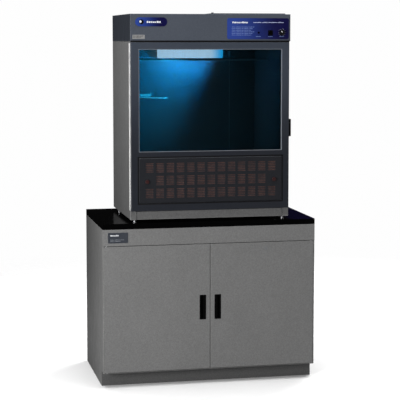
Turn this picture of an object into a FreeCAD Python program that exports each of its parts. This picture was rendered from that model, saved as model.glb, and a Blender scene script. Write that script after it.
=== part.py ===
"""Drying cabinet for wet evidence and samples, standing on a two-door base cabinet.

Millimetres. X runs to the right, Y to the back and Z up. The origin is on the floor, in the
middle of the whole outline. Sheet parts are folded steel, and every fit takes its size from the
piece that it holds and a named clearance.
"""
import FreeCAD, Part
import math
import os

V = FreeCAD.Vector

# ---- Clearances -----------------------------------------------------------------------------
running_gap = 0.06        # radial, round a turning shaft
seat_gap = 0.3            # between a seal or flap and what it closes on
lap_gap = 0.1             # between a sheet and the fold that it lies in

# ---- Sheet metal ----------------------------------------------------------------------------
sheet = 1.5               # cabinet steel
door_sheet = 1.2          # base door skins
bend = 2.5                # outer radius of an ordinary fold
wide_bend = 4.0           # outer radius of the drying cabinet's front folds
fold_room = 3.0           # what lies inside a folded edge keeps this far from its bend

# ---- Base cabinet ---------------------------------------------------------------------------
base_width = 1219.2
base_depth = 698.5
base_height = 894.85      # to the underside of the worktop
base_flange = 25.0        # turned-in edges of the side panels
toe_height = 86.0
toe_depth = 75.0
apron_height = 93.35
apron_flange = 45.0
side_lip = 5.0            # front edge of a side panel, beside the door
stop_width = 20.0         # flange behind the door's hinged edge
shelf_height = 440.0
shelf_fold = 25.0
shelf_side_gap = 4.0
shelf_front_gap = 60.0
shelf_back_gap = 20.0
clip_length = 18.0
clip_width = 12.0
clip_height = 10.0
anchor_spacing_x = 900.0  # holes for fixing the base to a wall
anchor_spacing_z = 500.0
anchor_low = 300.0
anchor_radius = 4.5

# ---- Base doors -----------------------------------------------------------------------------
base_door_thickness = 19.0
base_door_side_gap = 1.6
base_door_gap = 3.0       # between the doors, and below the apron
base_door_floor_gap = 2.5
base_door_back_room = 7.0 # from the door's back to the stop flange
pivot_inset = 14.0        # pivot axis, from the door's hinged edge
pivot_setback = 5.5       # pivot axis, from the door's front
pivot_radius = 3.0
pivot_engage = 12.0
pivot_washer_radius = 5.0
pull_width = 37.0
pull_height = 140.0
pull_offset = 43.0        # centre of the pull, from the middle of the cabinet
pull_z = 440.5
pull_rim = 4.0
pull_proud = 1.0
pull_depth = 13.0
pull_wall = 1.5
pull_ledge = 9.0
catch_width = 35.0
catch_depth = 20.0
catch_height = 20.0

# ---- Worktop and nameplate ------------------------------------------------------------------
worktop_thickness = 31.75
worktop_chamfer = 1.5
nameplate_width = 112.0
nameplate_height = 58.0
nameplate_inset = 85.6     # centre, from the base's left side
plate_thickness = 1.5

# ---- Drying cabinet -------------------------------------------------------------------------
cabinet_width = 908.8
cabinet_depth = 618.0     # behind the gap for the door seal
cabinet_height = 987.2    # from the bottom sheet to the head
foot_height = 19.0
side_return = 36.0
seal_gap = 5.0            # from the door's back to the cabinet's front
sill_height = 63.1
sill_depth = 30.0
sill_seam = 1.2
liner_flange = 13.0
liner_gap = 0.4           # between a liner's flange and the side's fold
rear_space = 23.0         # behind the chamber
header_height = 41.3
tray_depth = 14.0
tray_rim = 10.0
back_seam_inset = 155.0   # joint of the two back liner sheets, from the right liner
back_seam = 1.0
foot_inset_x = 29.4
foot_inset_front = 25.0
foot_inset_back = 40.0
foot_pad_radius = 12.7
foot_pad_height = 4.5
foot_nut_flats = 16.0
foot_nut_height = 8.0
foot_stud_radius = 4.8
foot_stud_engage = 16.0
foot_boss_radius = 9.0
foot_boss_height = 12.0

# ---- Chamber door ---------------------------------------------------------------------------
door_inset = 4.4          # each side of the door, from the cabinet's side
door_low_gap = 49.9       # below the door, down to the cabinet's bottom
door_thickness = 19.0
door_shift = -1.0         # the door's middle, from the cabinet's middle
door_top_gap = 5.8        # below the head
door_edge_radius = 3.0
window_drop = 39.5        # from the door's top to the window
trim_thickness = 1.5
trim_proud = 0.3
pane_thickness = 4.5
pane_edge = 1.0           # width of the door's back that holds the pane
seal_width = 14.0
seal_offset = 6.0         # from the chamber's mouth
seal_sill_offset = 3.0
hinge_end_gap = 4.75      # from the hinge's ends to the door's ends
hinge_knuckles = 16
hinge_knuckle_gap = 0.4
hinge_leaf = 1.2
hinge_leaf_width = 24.5
hinge_pin_radius = 1.25
hinge_offset = 1.0        # pivot axis, outside the cabinet's side
chamber_pull_length = 98.0
chamber_pull_drop = 13.25 # centre, below the door's middle
chamber_pull_reach = 12.0
chamber_pull_bar = 5.0
chamber_pull_foot = 12.0
chamber_pull_width = 13.0

# ---- Air inlet in the door ------------------------------------------------------------------
grille_extra = 2.0        # each side of the grille, past the window
grille_height = 249.0
grille_foot = 43.5        # from the door's low edge to the grille's opening
grille_drop = 35.0        # from the window's foot to the grille's opening
grille_gap = 1.0
grille_fold = 12.0
cell_columns = 13
cell_rows = 3
cell_margin = 58.4        # from the grille's side to the first cell
cell_pitch_z = 71.0
slots_per_cell = 6
slot_width = 44.0
slot_height = 5.2
slot_pitch = 9.2
grille_knob_inset = 45.0
grille_knob_drop = 6.0
grille_knob_radius = 11.0
grille_knob_height = 9.0
grille_shank_radius = 3.0
grille_boss_radius = 7.0
grille_boss_height = 4.5
media_thickness = 10.0
media_gap = 0.5
media_side_gap = 0.8
inlet_side_margin = 65.0
inlet_margin = 15.0

# ---- Chamber fittings -----------------------------------------------------------------------
rod_radius = 6.35
rod_drop = 103.3          # below the ceiling
rod_shift = -17.5         # from the chamber's mid-depth
rod_flange_radius = 12.0
rod_flange_length = 7.0
lamp_width = 400.0
lamp_depth = 78.0
lamp_housing_height = 42.0
lamp_lens_height = 57.0
lamp_lens_side = 8.0
lamp_lens_radius = 22.0
shelf_plate = 4.0
small_shelf_drop = 322.3  # below the ceiling
small_shelf_front = 135.0 # from the cabinet's front

# ---- Head -----------------------------------------------------------------------------------
head_height = 149.7
cover_width = 422.0
cover_side = 14.4         # from the cabinet's side
cover_margin = 35.0       # from the cabinet's front
cover_rear = 33.0
cover_height = 5.5
cover_lap = 10.0          # how far the cover's edge lies on the head's top
cover_slots = 22
cover_banks = 3
cover_slot_length = 110.0
cover_slot_width = 6.0
cover_slot_margin = 40.0
cover_screw_radius = 6.0
cover_screw_height = 6.0
cover_shank_radius = 2.0
cover_shank_length = 14.0
cover_screw_inset = 6.0
cover_screw_back = 20.0
blower_side = 234.4       # centre, from the cabinet's left side
blower_front = 270.0      # centre, from the cabinet's front
blower_radius = 125.0
blower_height = 80.0
blower_wall = 2.0
blower_outlet_width = 90.0
wheel_radius = 88.0
wheel_height = 66.0
wheel_blades = 24
wheel_blade_depth = 16.0
wheel_plate = 2.0
wheel_rim = 3.0
wheel_shaft_radius = 6.0
wheel_hub_radius = 14.0
inlet_ring_radius = 66.0
motor_radius = 48.0
motor_height = 58.0
motor_bore_depth = 30.0
plenum_width = 416.0
plenum_side = 18.4        # from the cabinet's side
plenum_margin = 75.0      # from the cabinet's front
plenum_rear = 53.0
plenum_height = 57.0
filter_height = 72.0
filter_recess = 6.0
filter_edge = 12.0

# ---- Controls and marks: centres from the nearer side of the head and from its foot ----------
control_plate_width = 354.0
control_plate_height = 116.0
control_plate_inset = 187.2
control_plate_up = 69.5
control_plate_thickness = 1.2
control_plate_corner = 10.0
bezel_width = 26.0
bezel_height = 29.0
bezel_rim = 2.4
bezel_proud = 2.5
switch_inset = 116.4
switch_up = 46.2
rocker_gap = 0.35
rocker_tilt = 8.0
rocker_depth = 12.0
rocker_end_room = 1.0
knob_inset = 49.8
knob_up = 48.5
knob_radius = 16.5
knob_skirt = 3.0
knob_grip_radius = 12.5
knob_height = 15.0
knob_shaft_radius = 3.0
knob_shaft_length = 12.0
badge_width = 177.5
badge_height = 49.0
badge_inset = 117.6
badge_up = 105.7
socket_width = 50.0
socket_height = 32.0
socket_inset = 99.4
socket_up = 42.2
socket_flange = 2.0
socket_depth = 26.0
socket_wall = 3.0
socket_pin_pitch = 8.0

# ---- Levels and planes that follow from the sizes above ---------------------------------------
front_reach = door_thickness + control_plate_thickness + knob_height
front = (front_reach - base_depth) / 2          # front of the base cabinet
back = front + base_depth
left = -base_width / 2
apron_bottom = base_height - apron_height
worktop_top = base_height + worktop_thickness
base_door_low = toe_height + base_door_floor_gap
base_door_high = apron_bottom - base_door_gap
base_door_outer = base_width / 2 - side_lip - base_door_side_gap

cabinet_left = -cabinet_width / 2
cabinet_front = front + seal_gap
cabinet_back = cabinet_front + cabinet_depth
cabinet_bottom = worktop_top + foot_height
cabinet_top = cabinet_bottom + cabinet_height
ceiling_z = cabinet_top - sheet
sill_top = cabinet_bottom + sill_height
chamber_floor = sill_top + sheet
chamber_back = cabinet_back - rear_space
chamber_width = cabinet_width - 2 * (side_return + liner_gap + liner_flange)
liner_x = -chamber_width / 2
back_seam_x = -liner_x - back_seam_inset
rod_y = (cabinet_front + chamber_back) / 2 + rod_shift
rod_z = ceiling_z - rod_drop
small_shelf_z = ceiling_z - small_shelf_drop
head_top_z = cabinet_top + head_height
head_front = front - door_thickness

door_left = door_shift + cabinet_left + door_inset
door_right = door_shift - cabinet_left - door_inset
door_high = cabinet_top - door_top_gap
door_low = cabinet_bottom + door_low_gap
window_width = chamber_width
grille_width = window_width + 2 * grille_extra
grille_open_low = door_low + grille_foot
grille_low = grille_open_low + grille_gap
grille_high = grille_low + grille_height
grille_open_high = grille_high + grille_gap
window_high = door_high - window_drop
window_low = grille_open_high + grille_drop
grille_z = (grille_low + grille_high) / 2
grille_knob_x = grille_width / 2 - grille_knob_inset
cell_pitch_x = (grille_width - 2 * cell_margin) / (cell_columns - 1)
chamber_pull_z = (door_low + door_high) / 2 - chamber_pull_drop
hinge_low = door_low + hinge_end_gap
hinge_high = door_high - hinge_end_gap
grille_knob_z = grille_z - grille_knob_drop
hinge_x = cabinet_left - hinge_offset
hinge_y = front + seal_gap / 2
knuckle_radius = seal_gap / 2

blower_x = cabinet_left + blower_side
blower_y = cabinet_front + blower_front
cover_right = -cabinet_left - cover_side
cover_left = cover_right - cover_width
cover_front = cabinet_front + cover_margin
cover_back = cabinet_back - cover_rear
cover_screw_x = cover_left + cover_screw_inset
cover_screw_y = cover_front + cover_screw_back
plenum_right = -cabinet_left - plenum_side
plenum_left = plenum_right - plenum_width
plenum_front = cabinet_front + plenum_margin
plenum_back = cabinet_back - plenum_rear
control_plate_x = -cabinet_left - control_plate_inset
control_plate_z = cabinet_top + control_plate_up
switch_x = -cabinet_left - switch_inset
switch_z = cabinet_top + switch_up
knob_x = -cabinet_left - knob_inset
knob_z = cabinet_top + knob_up
badge_x = cabinet_left + badge_inset
badge_z = cabinet_top + badge_up
socket_x = -cabinet_left - socket_inset
socket_z = cabinet_top + socket_up
cover_top = head_top_z + cover_height


# ---- Small tools ----------------------------------------------------------------------------
def block(low, high):
    """Block between two corners."""
    size = [b - a for a, b in zip(low, high)]
    return Part.makeBox(size[0], size[1], size[2], V(*low))


def rod(start, end, radius):
    """Round bar between two points."""
    run = V(*end) - V(*start)
    return Part.makeCylinder(radius, run.Length, V(*start), run)


def fused(shapes):
    """One clean solid from touching or overlapping shapes."""
    return shapes[0].fuse(shapes[1:]).removeSplitter()


def softened(shape, radius, wanted):
    """Round the straight edges whose two ends both pass the wanted test."""
    edges = [e for e in shape.Edges if all(wanted(v.Point) for v in e.Vertexes)]
    return shape.makeFillet(radius, edges)


def near(a, b):
    """Whether two lengths are the same."""
    return abs(a - b) < 0.001


def bent_edges(shape, radius, axis, place, run):
    """Round a block's edges on one face, all of them or only those along the axes in run."""
    picked = []
    for edge in shape.Edges:
        ends = [v.Point for v in edge.Vertexes]
        along = [abs(ends[1][i] - ends[0][i]) > 0.001 for i in range(3)]
        if all(near(p[axis], place) for p in ends) and (not run or along["xyz".index(run)]):
            picked.append(edge)
    return shape.makeFillet(radius, picked)


def pan(low, high, thickness, radius, mouth, run=""):
    """Folded sheet that fills a block and is open to one side, such as "+x".

    With an axis in run it is a channel, which is open at both ends along that axis too.
    """
    axis = "xyz".index(mouth[1])
    inner_low = [value + thickness for value in low]
    inner_high = [value - thickness for value in high]
    web, inner_web = low[axis], inner_low[axis]
    if mouth[0] == "+":
        inner_high[axis] = high[axis] + thickness
    else:
        inner_low[axis] = low[axis] - thickness
        web, inner_web = high[axis], inner_high[axis]
    if run:
        end = "xyz".index(run)
        inner_low[end] = low[end] - thickness
        inner_high[end] = high[end] + thickness
    outer = bent_edges(block(low, high), radius, axis, web, run)
    inner = block(inner_low, inner_high)
    if radius > thickness:
        inner = bent_edges(inner, radius - thickness, axis, inner_web, run)
    return outer.cut(inner)


def mirrored(shape):
    """The same piece on the other side of the cabinet."""
    return shape.mirror(V(0, 0, 0), V(1, 0, 0))


def rounded_plate(low, high, radius, axis):
    """Plate whose four corners along one axis are rounded."""
    plate = block(low, high)
    edges = []
    for edge in plate.Edges:
        ends = [v.Point for v in edge.Vertexes]
        if abs(ends[1][axis] - ends[0][axis]) > 0.001:
            edges.append(edge)
    return plate.makeFillet(radius, edges)


def hexagon(x, y, low, high, flats):
    """Upright hexagonal prism."""
    reach = flats / math.sqrt(3)
    points = []
    for step in range(7):
        angle = math.radians(60 * step + 30)
        points.append(V(x + reach * math.cos(angle), y + reach * math.sin(angle), low))
    return Part.Face(Part.makePolygon(points)).extrude(V(0, 0, high - low))


def slot_tool(x, z, width, height, y_low, y_high):
    """Round-ended slot cutter that runs along Y."""
    reach = width / 2 - height / 2
    middle = block((x - reach, y_low, z - height / 2), (x + reach, y_high, z + height / 2))
    ends = [rod((x + s * reach, y_low, z), (x + s * reach, y_high, z), height / 2) for s in (-1, 1)]
    return fused([middle] + ends)


# ---- Base cabinet ---------------------------------------------------------------------------
def base_left_side():
    """Side panel: a web with turned-in edges, a front lip and a stop behind the door."""
    fold = left + side_lip
    stop_y = front + base_door_thickness + base_door_back_room
    web = block((left, front, 0), (left + sheet, back, base_height))
    lip = block((left, front, toe_height), (fold, front + sheet, apron_bottom))
    side = softened(fused([web, lip]), bend, lambda p: near(p.x, left) and near(p.y, front))
    return_wall = block((fold - sheet, front, toe_height), (fold, stop_y + sheet, apron_bottom))
    stop = block((fold - sheet, stop_y, toe_height), (fold + stop_width, stop_y + sheet, apron_bottom))
    rear = block((left, back - sheet, 0), (left + base_flange, back, base_height))
    foot = block((left, front + toe_depth, 0), (left + base_flange, back, sheet))
    top_start = front + apron_flange + seat_gap
    top = block((left, top_start, base_height - sheet), (left + base_flange, back, base_height))
    side = fused([side, return_wall, stop, rear, foot, top])
    toe = block((left - 1, front - 1, -1), (left + base_flange + 1, front + toe_depth + sheet, toe_height))
    behind_apron = block((left - 1, front - 1, apron_bottom), (fold, front + sheet, base_height + 1))
    return side.cut(toe).cut(behind_apron)


def base_right_side():
    return mirrored(base_left_side())


def base_back():
    """Back sheet, with four holes for anchoring the base to a wall."""
    reach = base_width / 2 - sheet
    y_low = back - 2 * sheet
    panel = block((-reach, y_low, sheet), (reach, back - sheet, base_height - sheet))
    for x in (-anchor_spacing_x / 2, anchor_spacing_x / 2):
        for z in (anchor_low, anchor_low + anchor_spacing_z):
            panel = panel.cut(rod((x, y_low - 1, z), (x, back, z), anchor_radius))
    return panel


def base_deck():
    """Floor of the base cabinet."""
    reach = base_width / 2 - sheet
    return block((-reach, front + sheet, toe_height - sheet), (reach, back - 2 * sheet, toe_height))


def base_toe_kick():
    """Set-back plinth under the doors."""
    y_low = front + toe_depth
    return block((left, y_low, 0), (-left, y_low + sheet, toe_height - sheet))


def base_apron():
    """Rail above the doors, a channel that is open to the back."""
    low = (left, front, apron_bottom)
    high = (-left, front + apron_flange, base_height)
    rail = pan(low, high, sheet, bend, "+y", "x")
    for side in (-1, 1):
        outer, inner = side * (base_width / 2 + 1), side * (base_width / 2 - sheet)
        end_low, end_high = min(outer, inner), max(outer, inner)
        end = block((end_low, front + sheet, apron_bottom - 1), (end_high, back, base_height + 1))
        rail = rail.cut(end)
    return rail


def base_shelf():
    """Inner shelf, with its edges turned down."""
    reach = base_width / 2 - sheet - shelf_side_gap
    low = (-reach, front + shelf_front_gap, shelf_height)
    high = (reach, back - shelf_back_gap, shelf_height + shelf_fold)
    return pan(low, high, sheet, bend, "-z")


def base_shelf_clips():
    """Four clips that carry the shelf."""
    clips = []
    inner = base_width / 2 - sheet
    rows = (front + shelf_front_gap + 2 * clip_width, back - shelf_back_gap - 3 * clip_width)
    for y in rows:
        low = (-inner, y, shelf_height - clip_height)
        clip = block(low, (-inner + clip_length, y + clip_width, shelf_height))
        wall = block(low, (-inner + sheet, y + clip_width, shelf_height + clip_height))
        clip = fused([clip, wall])
        clips += [clip, mirrored(clip)]
    return Part.makeCompound(clips)


def base_hinge_pins():
    """Pivot studs of the two base doors, with the washers under the lower ones."""
    pins = []
    y = front + pivot_setback
    for side in (-1, 1):
        x = side * (base_door_outer - pivot_inset)
        lower = rod((x, y, toe_height), (x, y, base_door_low + pivot_engage), pivot_radius)
        washer = rod((x, y, toe_height), (x, y, base_door_low - lap_gap), pivot_washer_radius)
        upper = rod((x, y, base_door_high - pivot_engage), (x, y, apron_bottom), pivot_radius)
        pins += [fused([lower, washer]), upper]
    return Part.makeCompound(pins)


def base_door_catches():
    """Two magnetic catches under the apron, behind the doors' free edges."""
    y_low = front + base_door_thickness + seat_gap
    catches = []
    for x in (-pull_offset, pull_offset):
        low = (x - catch_width / 2, y_low, apron_bottom - catch_height)
        high = (x + catch_width / 2, y_low + catch_depth, apron_bottom)
        catches.append(softened(block(low, high), 2.0, lambda p: near(p.z, apron_bottom - catch_height)))
    return Part.makeCompound(catches)


def base_nameplate():
    """Blank plate on the apron."""
    z = (apron_bottom + base_height) / 2
    x = left + nameplate_inset
    low = (x - nameplate_width / 2, front - plate_thickness, z - nameplate_height / 2)
    high = (x + nameplate_width / 2, front, z + nameplate_height / 2)
    return rounded_plate(low, high, 3.0, 1)


def worktop():
    """Cast worktop with a small chamfer round its upper edge."""
    top = block((left, front, base_height), (-left, back, worktop_top))
    edges = [e for e in top.Edges if all(near(v.Z, worktop_top) for v in e.Vertexes)]
    return top.makeChamfer(worktop_chamfer, edges)


# ---- Base doors -----------------------------------------------------------------------------
def left_door():
    """Hollow steel door: a front pan with pivot blocks, and a back sheet."""
    x_low, x_high = -base_door_outer, -base_door_gap / 2
    y_high = front + base_door_thickness
    skin = pan((x_low, front, base_door_low), (x_high, y_high, base_door_high), door_sheet, 2.0, "+y")
    axis_x, axis_y = x_low + pivot_inset, front + pivot_setback
    depth = pivot_engage + 2
    blocks, bores = [], []
    for z, step in ((base_door_low, 1), (base_door_high, -1)):
        levels = sorted((z + step * door_sheet / 2, z + step * (depth + 2)))
        corner = (x_low + door_sheet / 2, front + door_sheet / 2, levels[0])
        far = (axis_x + 2 * pivot_radius, axis_y + 2 * pivot_radius, levels[1])
        blocks.append(softened(block(corner, far), 1.0, lambda p: near(p.x, far[0])))
        radius = pivot_radius + running_gap
        bores.append(rod((axis_x, axis_y, z - step), (axis_x, axis_y, z + step * depth), radius))
    skin = fused([skin] + blocks)
    hole_x = pull_width / 2 - pull_rim + lap_gap
    hole_z = pull_height / 2 - pull_rim + lap_gap
    hole = block((-pull_offset - hole_x, front - 1, pull_z - hole_z),
                 (-pull_offset + hole_x, front + 2 * door_sheet, pull_z + hole_z))
    for cutter in bores + [hole]:
        skin = skin.cut(cutter)
    low = (x_low + door_sheet, y_high - door_sheet, base_door_low + door_sheet)
    high = (x_high - door_sheet, y_high, base_door_high - door_sheet)
    return Part.makeCompound([skin, block(low, high)])


def right_door():
    return mirrored(left_door())


def left_door_pull():
    """Flush pull: a rimmed cup, with a ledge over the side nearer the cabinet's middle."""
    x, z = -pull_offset, pull_z
    rim = rounded_plate((x - pull_width / 2, front - pull_proud, z - pull_height / 2),
                        (x + pull_width / 2, front, z + pull_height / 2), 3.0, 1)
    cup_x, cup_z = pull_width / 2 - pull_rim, pull_height / 2 - pull_rim
    cup = block((x - cup_x, front - pull_proud, z - cup_z), (x + cup_x, front + pull_depth, z + cup_z))
    inner_x, inner_z = cup_x - pull_wall, cup_z - pull_wall
    hollow = block((x - inner_x, front + pull_wall, z - inner_z),
                   (x + inner_x, front + pull_depth - pull_wall, z + inner_z))
    mouth = block((x - inner_x, front - 2 * pull_proud, z - inner_z),
                  (x + inner_x - pull_ledge, front + 2 * pull_wall, z + inner_z))
    return fused([rim, cup]).cut(fused([hollow, mouth]))


def right_door_pull():
    return mirrored(left_door_pull())


# ---- Drying cabinet's outer case --------------------------------------------------------------
def foot_places():
    """The four corners where the levelling feet stand."""
    x = cabinet_width / 2 - foot_inset_x
    front_y, back_y = cabinet_front + foot_inset_front, cabinet_back - foot_inset_back
    return {"front_left": (-x, front_y), "front_right": (x, front_y),
            "back_left": (-x, back_y), "back_right": (x, back_y)}


def cabinet_left_side():
    """Outer side panel with wide folds, pierced for the levelling feet."""
    low = (cabinet_left, cabinet_front, cabinet_bottom)
    high = (cabinet_left + side_return, cabinet_back, ceiling_z)
    panel = pan(low, high, sheet, wide_bend, "+x")
    for x, y in foot_places().values():
        stud = rod((x, y, cabinet_bottom - 1), (x, y, cabinet_bottom + 2 * sheet), foot_stud_radius + 1)
        panel = panel.cut(stud)
    return panel


def cabinet_right_side():
    return mirrored(cabinet_left_side())


def cabinet_rear():
    """Outer back sheet between the side panels."""
    reach = cabinet_width / 2 - side_return - seat_gap
    low = (-reach, cabinet_back - sheet, cabinet_bottom + 2 * sheet)
    return block(low, (reach, cabinet_back, ceiling_z))


def cabinet_floor():
    """Bottom sheet with a boss for each levelling foot."""
    reach = cabinet_width / 2 - sheet - fold_room
    low_z = cabinet_bottom + sheet
    floor = block((-reach, cabinet_front + fold_room + sheet, low_z),
                  (reach, cabinet_back - fold_room - sheet, low_z + sheet))
    places = foot_places().values()
    bosses = [rod((x, y, low_z), (x, y, low_z + foot_boss_height), foot_boss_radius) for x, y in places]
    floor = fused([floor] + bosses)
    for x, y in places:
        bore = rod((x, y, low_z - 1), (x, y, low_z + 2 * foot_boss_height), foot_stud_radius + running_gap)
        floor = floor.cut(bore)
    return floor


def sill_panel():
    """Front channel under the door."""
    reach = cabinet_width / 2 - side_return - sill_seam
    low = (-reach, cabinet_front, cabinet_bottom)
    return pan(low, (reach, cabinet_front + sill_depth, sill_top), sheet, bend, "+y", "x")


def levelling_foot(place):
    """Round pad, hexagon and stud of one levelling foot."""
    x, y = foot_places()[place]
    pad_top = worktop_top + foot_pad_height
    pad = rod((x, y, worktop_top), (x, y, pad_top), foot_pad_radius)
    pad = softened(pad, 1.0, lambda p: near(p.z, pad_top))
    nut = hexagon(x, y, pad_top, pad_top + foot_nut_height, foot_nut_flats)
    stud_top = cabinet_bottom + foot_stud_engage
    return fused([pad, nut, rod((x, y, pad_top), (x, y, stud_top), foot_stud_radius)])


# ---- Chamber --------------------------------------------------------------------------------
def liner_left():
    """Inner wall, a channel whose flanges turn outwards."""
    low = (liner_x - liner_flange, cabinet_front, chamber_floor)
    high = (liner_x, chamber_back + sheet, ceiling_z)
    return pan(low, high, sheet, bend, "-x", "z")


def liner_right():
    return mirrored(liner_left())


def liner_back():
    """Back wall in two sheets, so that the narrow one comes out for service."""
    reach = chamber_width / 2 - fold_room
    seam = back_seam / 2
    wide = block((-reach, chamber_back, chamber_floor), (back_seam_x - seam, chamber_back + sheet, ceiling_z))
    narrow = block((back_seam_x + seam, chamber_back, chamber_floor),
                   (reach, chamber_back + sheet, ceiling_z))
    strip = block((back_seam_x - 15, chamber_back + sheet, chamber_floor),
                  (back_seam_x + 15, chamber_back + 2 * sheet, ceiling_z))
    corners = [block((s * reach - 8, chamber_back + sheet, chamber_floor),
                     (s * reach + 8, chamber_back + 2 * sheet, ceiling_z)) for s in (-1, 1)]
    return Part.makeCompound([fused([wide, corners[0]]), fused([narrow, corners[1]]), strip])


def liner_floor():
    """Drip tray with a rim that lies on the sill."""
    reach = chamber_width / 2 + liner_flange - seat_gap
    y_low, y_high = cabinet_front + sheet + bend, chamber_back - seat_gap
    rim = block((-reach, y_low, sill_top), (reach, y_high, chamber_floor))
    inner = chamber_width / 2 - tray_rim
    inner_low, inner_high = y_low + sill_depth + tray_rim, y_high - tray_rim
    low = (-inner, inner_low, chamber_floor - tray_depth)
    tub = block(low, (inner, inner_high, chamber_floor))
    tub = softened(tub, wide_bend, lambda p: near(p.z, chamber_floor - tray_depth))
    hollow = block((-inner + sheet, inner_low + sheet, chamber_floor - tray_depth + sheet),
                   (inner - sheet, inner_high - sheet, chamber_floor + 1))
    hollow = softened(hollow, bend, lambda p: near(p.z, chamber_floor - tray_depth + sheet))
    return fused([rim, tub]).cut(hollow)


def liner_ceiling():
    """Top sheet with the header above the door and the blower's air inlet."""
    half = cabinet_width / 2
    top = block((-half, cabinet_front, ceiling_z), (half, cabinet_back, cabinet_top))
    reach = chamber_width / 2 - seat_gap
    header = block((-reach, cabinet_front, ceiling_z - header_height),
                   (reach, cabinet_front + sheet, ceiling_z))
    inlet = rod((blower_x, blower_y, ceiling_z - 1), (blower_x, blower_y, cabinet_top + 1), inlet_ring_radius)
    return fused([top, header]).cut(inlet)


def hanging_rod():
    """Garment rod between two round wall flanges."""
    y = rod_y
    reach = chamber_width / 2
    end = reach - rod_flange_length / 2
    bar = rod((-end, y, rod_z), (end, y, rod_z), rod_radius)
    flanges = []
    for side in (-1, 1):
        inner = side * (reach - rod_flange_length)
        flange = rod((side * reach, y, rod_z), (inner, y, rod_z), rod_flange_radius)
        flanges.append(softened(flange, 2.5, lambda p: near(p.x, inner)))
    return fused([bar] + flanges)


def side_shelf():
    """Small pointed shelf on the left wall, with a raised back edge and a peg."""
    wall, root = liner_x, cabinet_front + small_shelf_front
    outline = [(wall, root), (wall + 132, root), (wall + 205, root + 72), (wall + 128, root + 158),
               (wall, root + 158), (wall, root)]
    top = small_shelf_z + shelf_plate
    plate = Part.Face(Part.makePolygon([V(x, y, small_shelf_z) for x, y in outline]))
    plate = plate.extrude(V(0, 0, shelf_plate))
    lip = block((wall, root + 155, small_shelf_z), (wall + 115, root + 158, top + 18))
    ear = block((wall, root + 6, small_shelf_z - 24), (wall + 2, root + 152, top + 16))
    peg = rod((wall + 110, root + 100, top - 1), (wall + 110, root + 100, top + 36), 2.5)
    return fused([plate, lip, ear, peg])


def lamp_housing():
    """Shallow lamp tray fixed under the ceiling at the back wall."""
    y_high = chamber_back - seat_gap
    low = (-lamp_width / 2, y_high - lamp_depth, ceiling_z - lamp_housing_height)
    return pan(low, (lamp_width / 2, y_high, ceiling_z), sheet, bend, "-z")


def lamp_lens():
    """Diffuser under the lamp tray, rounded along its lower edges."""
    y_high = chamber_back - seat_gap
    z_high = ceiling_z - lamp_housing_height
    low = (-lamp_width / 2 + lamp_lens_side, y_high - lamp_depth, z_high - lamp_lens_height)
    high = (lamp_width / 2 - lamp_lens_side, y_high - 2, z_high)
    lens = block(low, high)
    edge = [e for e in lens.Edges if all(near(v.Y, low[1]) and near(v.Z, low[2]) for v in e.Vertexes)]
    return lens.makeFillet(lamp_lens_radius, edge)


def door_seal():
    """Ring seal on the cabinet's front, just clear of the closed door."""
    reach = chamber_width / 2 + seal_offset
    low_z, high_z = sill_top - seal_sill_offset, ceiling_z - header_height + seal_offset
    y_low, y_high = front + seat_gap, cabinet_front
    outer = block((-reach - seal_width, y_low, low_z - seal_width),
                  (reach + seal_width, y_high, high_z + seal_width))
    inner = block((-reach, y_low - 1, low_z), (reach, y_high + 1, high_z))
    return outer.cut(inner)


# ---- Chamber door ---------------------------------------------------------------------------
def hinge_leaf_with_knuckles(first, sheet_low, sheet_high):
    """One leaf of the long hinge, with every second knuckle from the first one given."""
    low_z, high_z = hinge_low, hinge_high
    pitch = (high_z - low_z) / hinge_knuckles
    start = hinge_x + knuckle_radius + hinge_knuckle_gap
    pieces = [block((start, sheet_low, low_z), (start + hinge_leaf_width, sheet_high, high_z))]
    for number in range(first, hinge_knuckles, 2):
        z_low = low_z + number * pitch + hinge_knuckle_gap / 2
        z_high = z_low + pitch - hinge_knuckle_gap
        pieces.append(rod((hinge_x, hinge_y, z_low), (hinge_x, hinge_y, z_high), knuckle_radius))
        pieces.append(block((hinge_x, sheet_low, z_low), (start + 1, sheet_high, z_high)))
    leaf = fused(pieces)
    bore = rod((hinge_x, hinge_y, low_z - 1), (hinge_x, hinge_y, high_z + 1),
               hinge_pin_radius + running_gap)
    return leaf.cut(bore)


def hinge_frame_leaf():
    """Cabinet's hinge leaf and the long pin."""
    leaf = hinge_leaf_with_knuckles(0, cabinet_front - hinge_leaf, cabinet_front)
    pin = rod((hinge_x, hinge_y, hinge_low), (hinge_x, hinge_y, hinge_high), hinge_pin_radius)
    return Part.makeCompound([leaf, pin])


def hinge_door_leaf():
    """Door's hinge leaf."""
    return hinge_leaf_with_knuckles(1, front, front + hinge_leaf)


def window_block(grow, y_low, y_high):
    """Block through the window, grown on all four edges."""
    reach = window_width / 2 + grow
    return block((-reach, y_low, window_low - grow), (reach, y_high, window_high + grow))


def grille_block(grow, y_low, y_high):
    """Block through the grille's opening, grown on all four edges."""
    reach = grille_width / 2 + grille_gap + grow
    return block((-reach, y_low, grille_open_low - grow), (reach, y_high, grille_open_high + grow))


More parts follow.
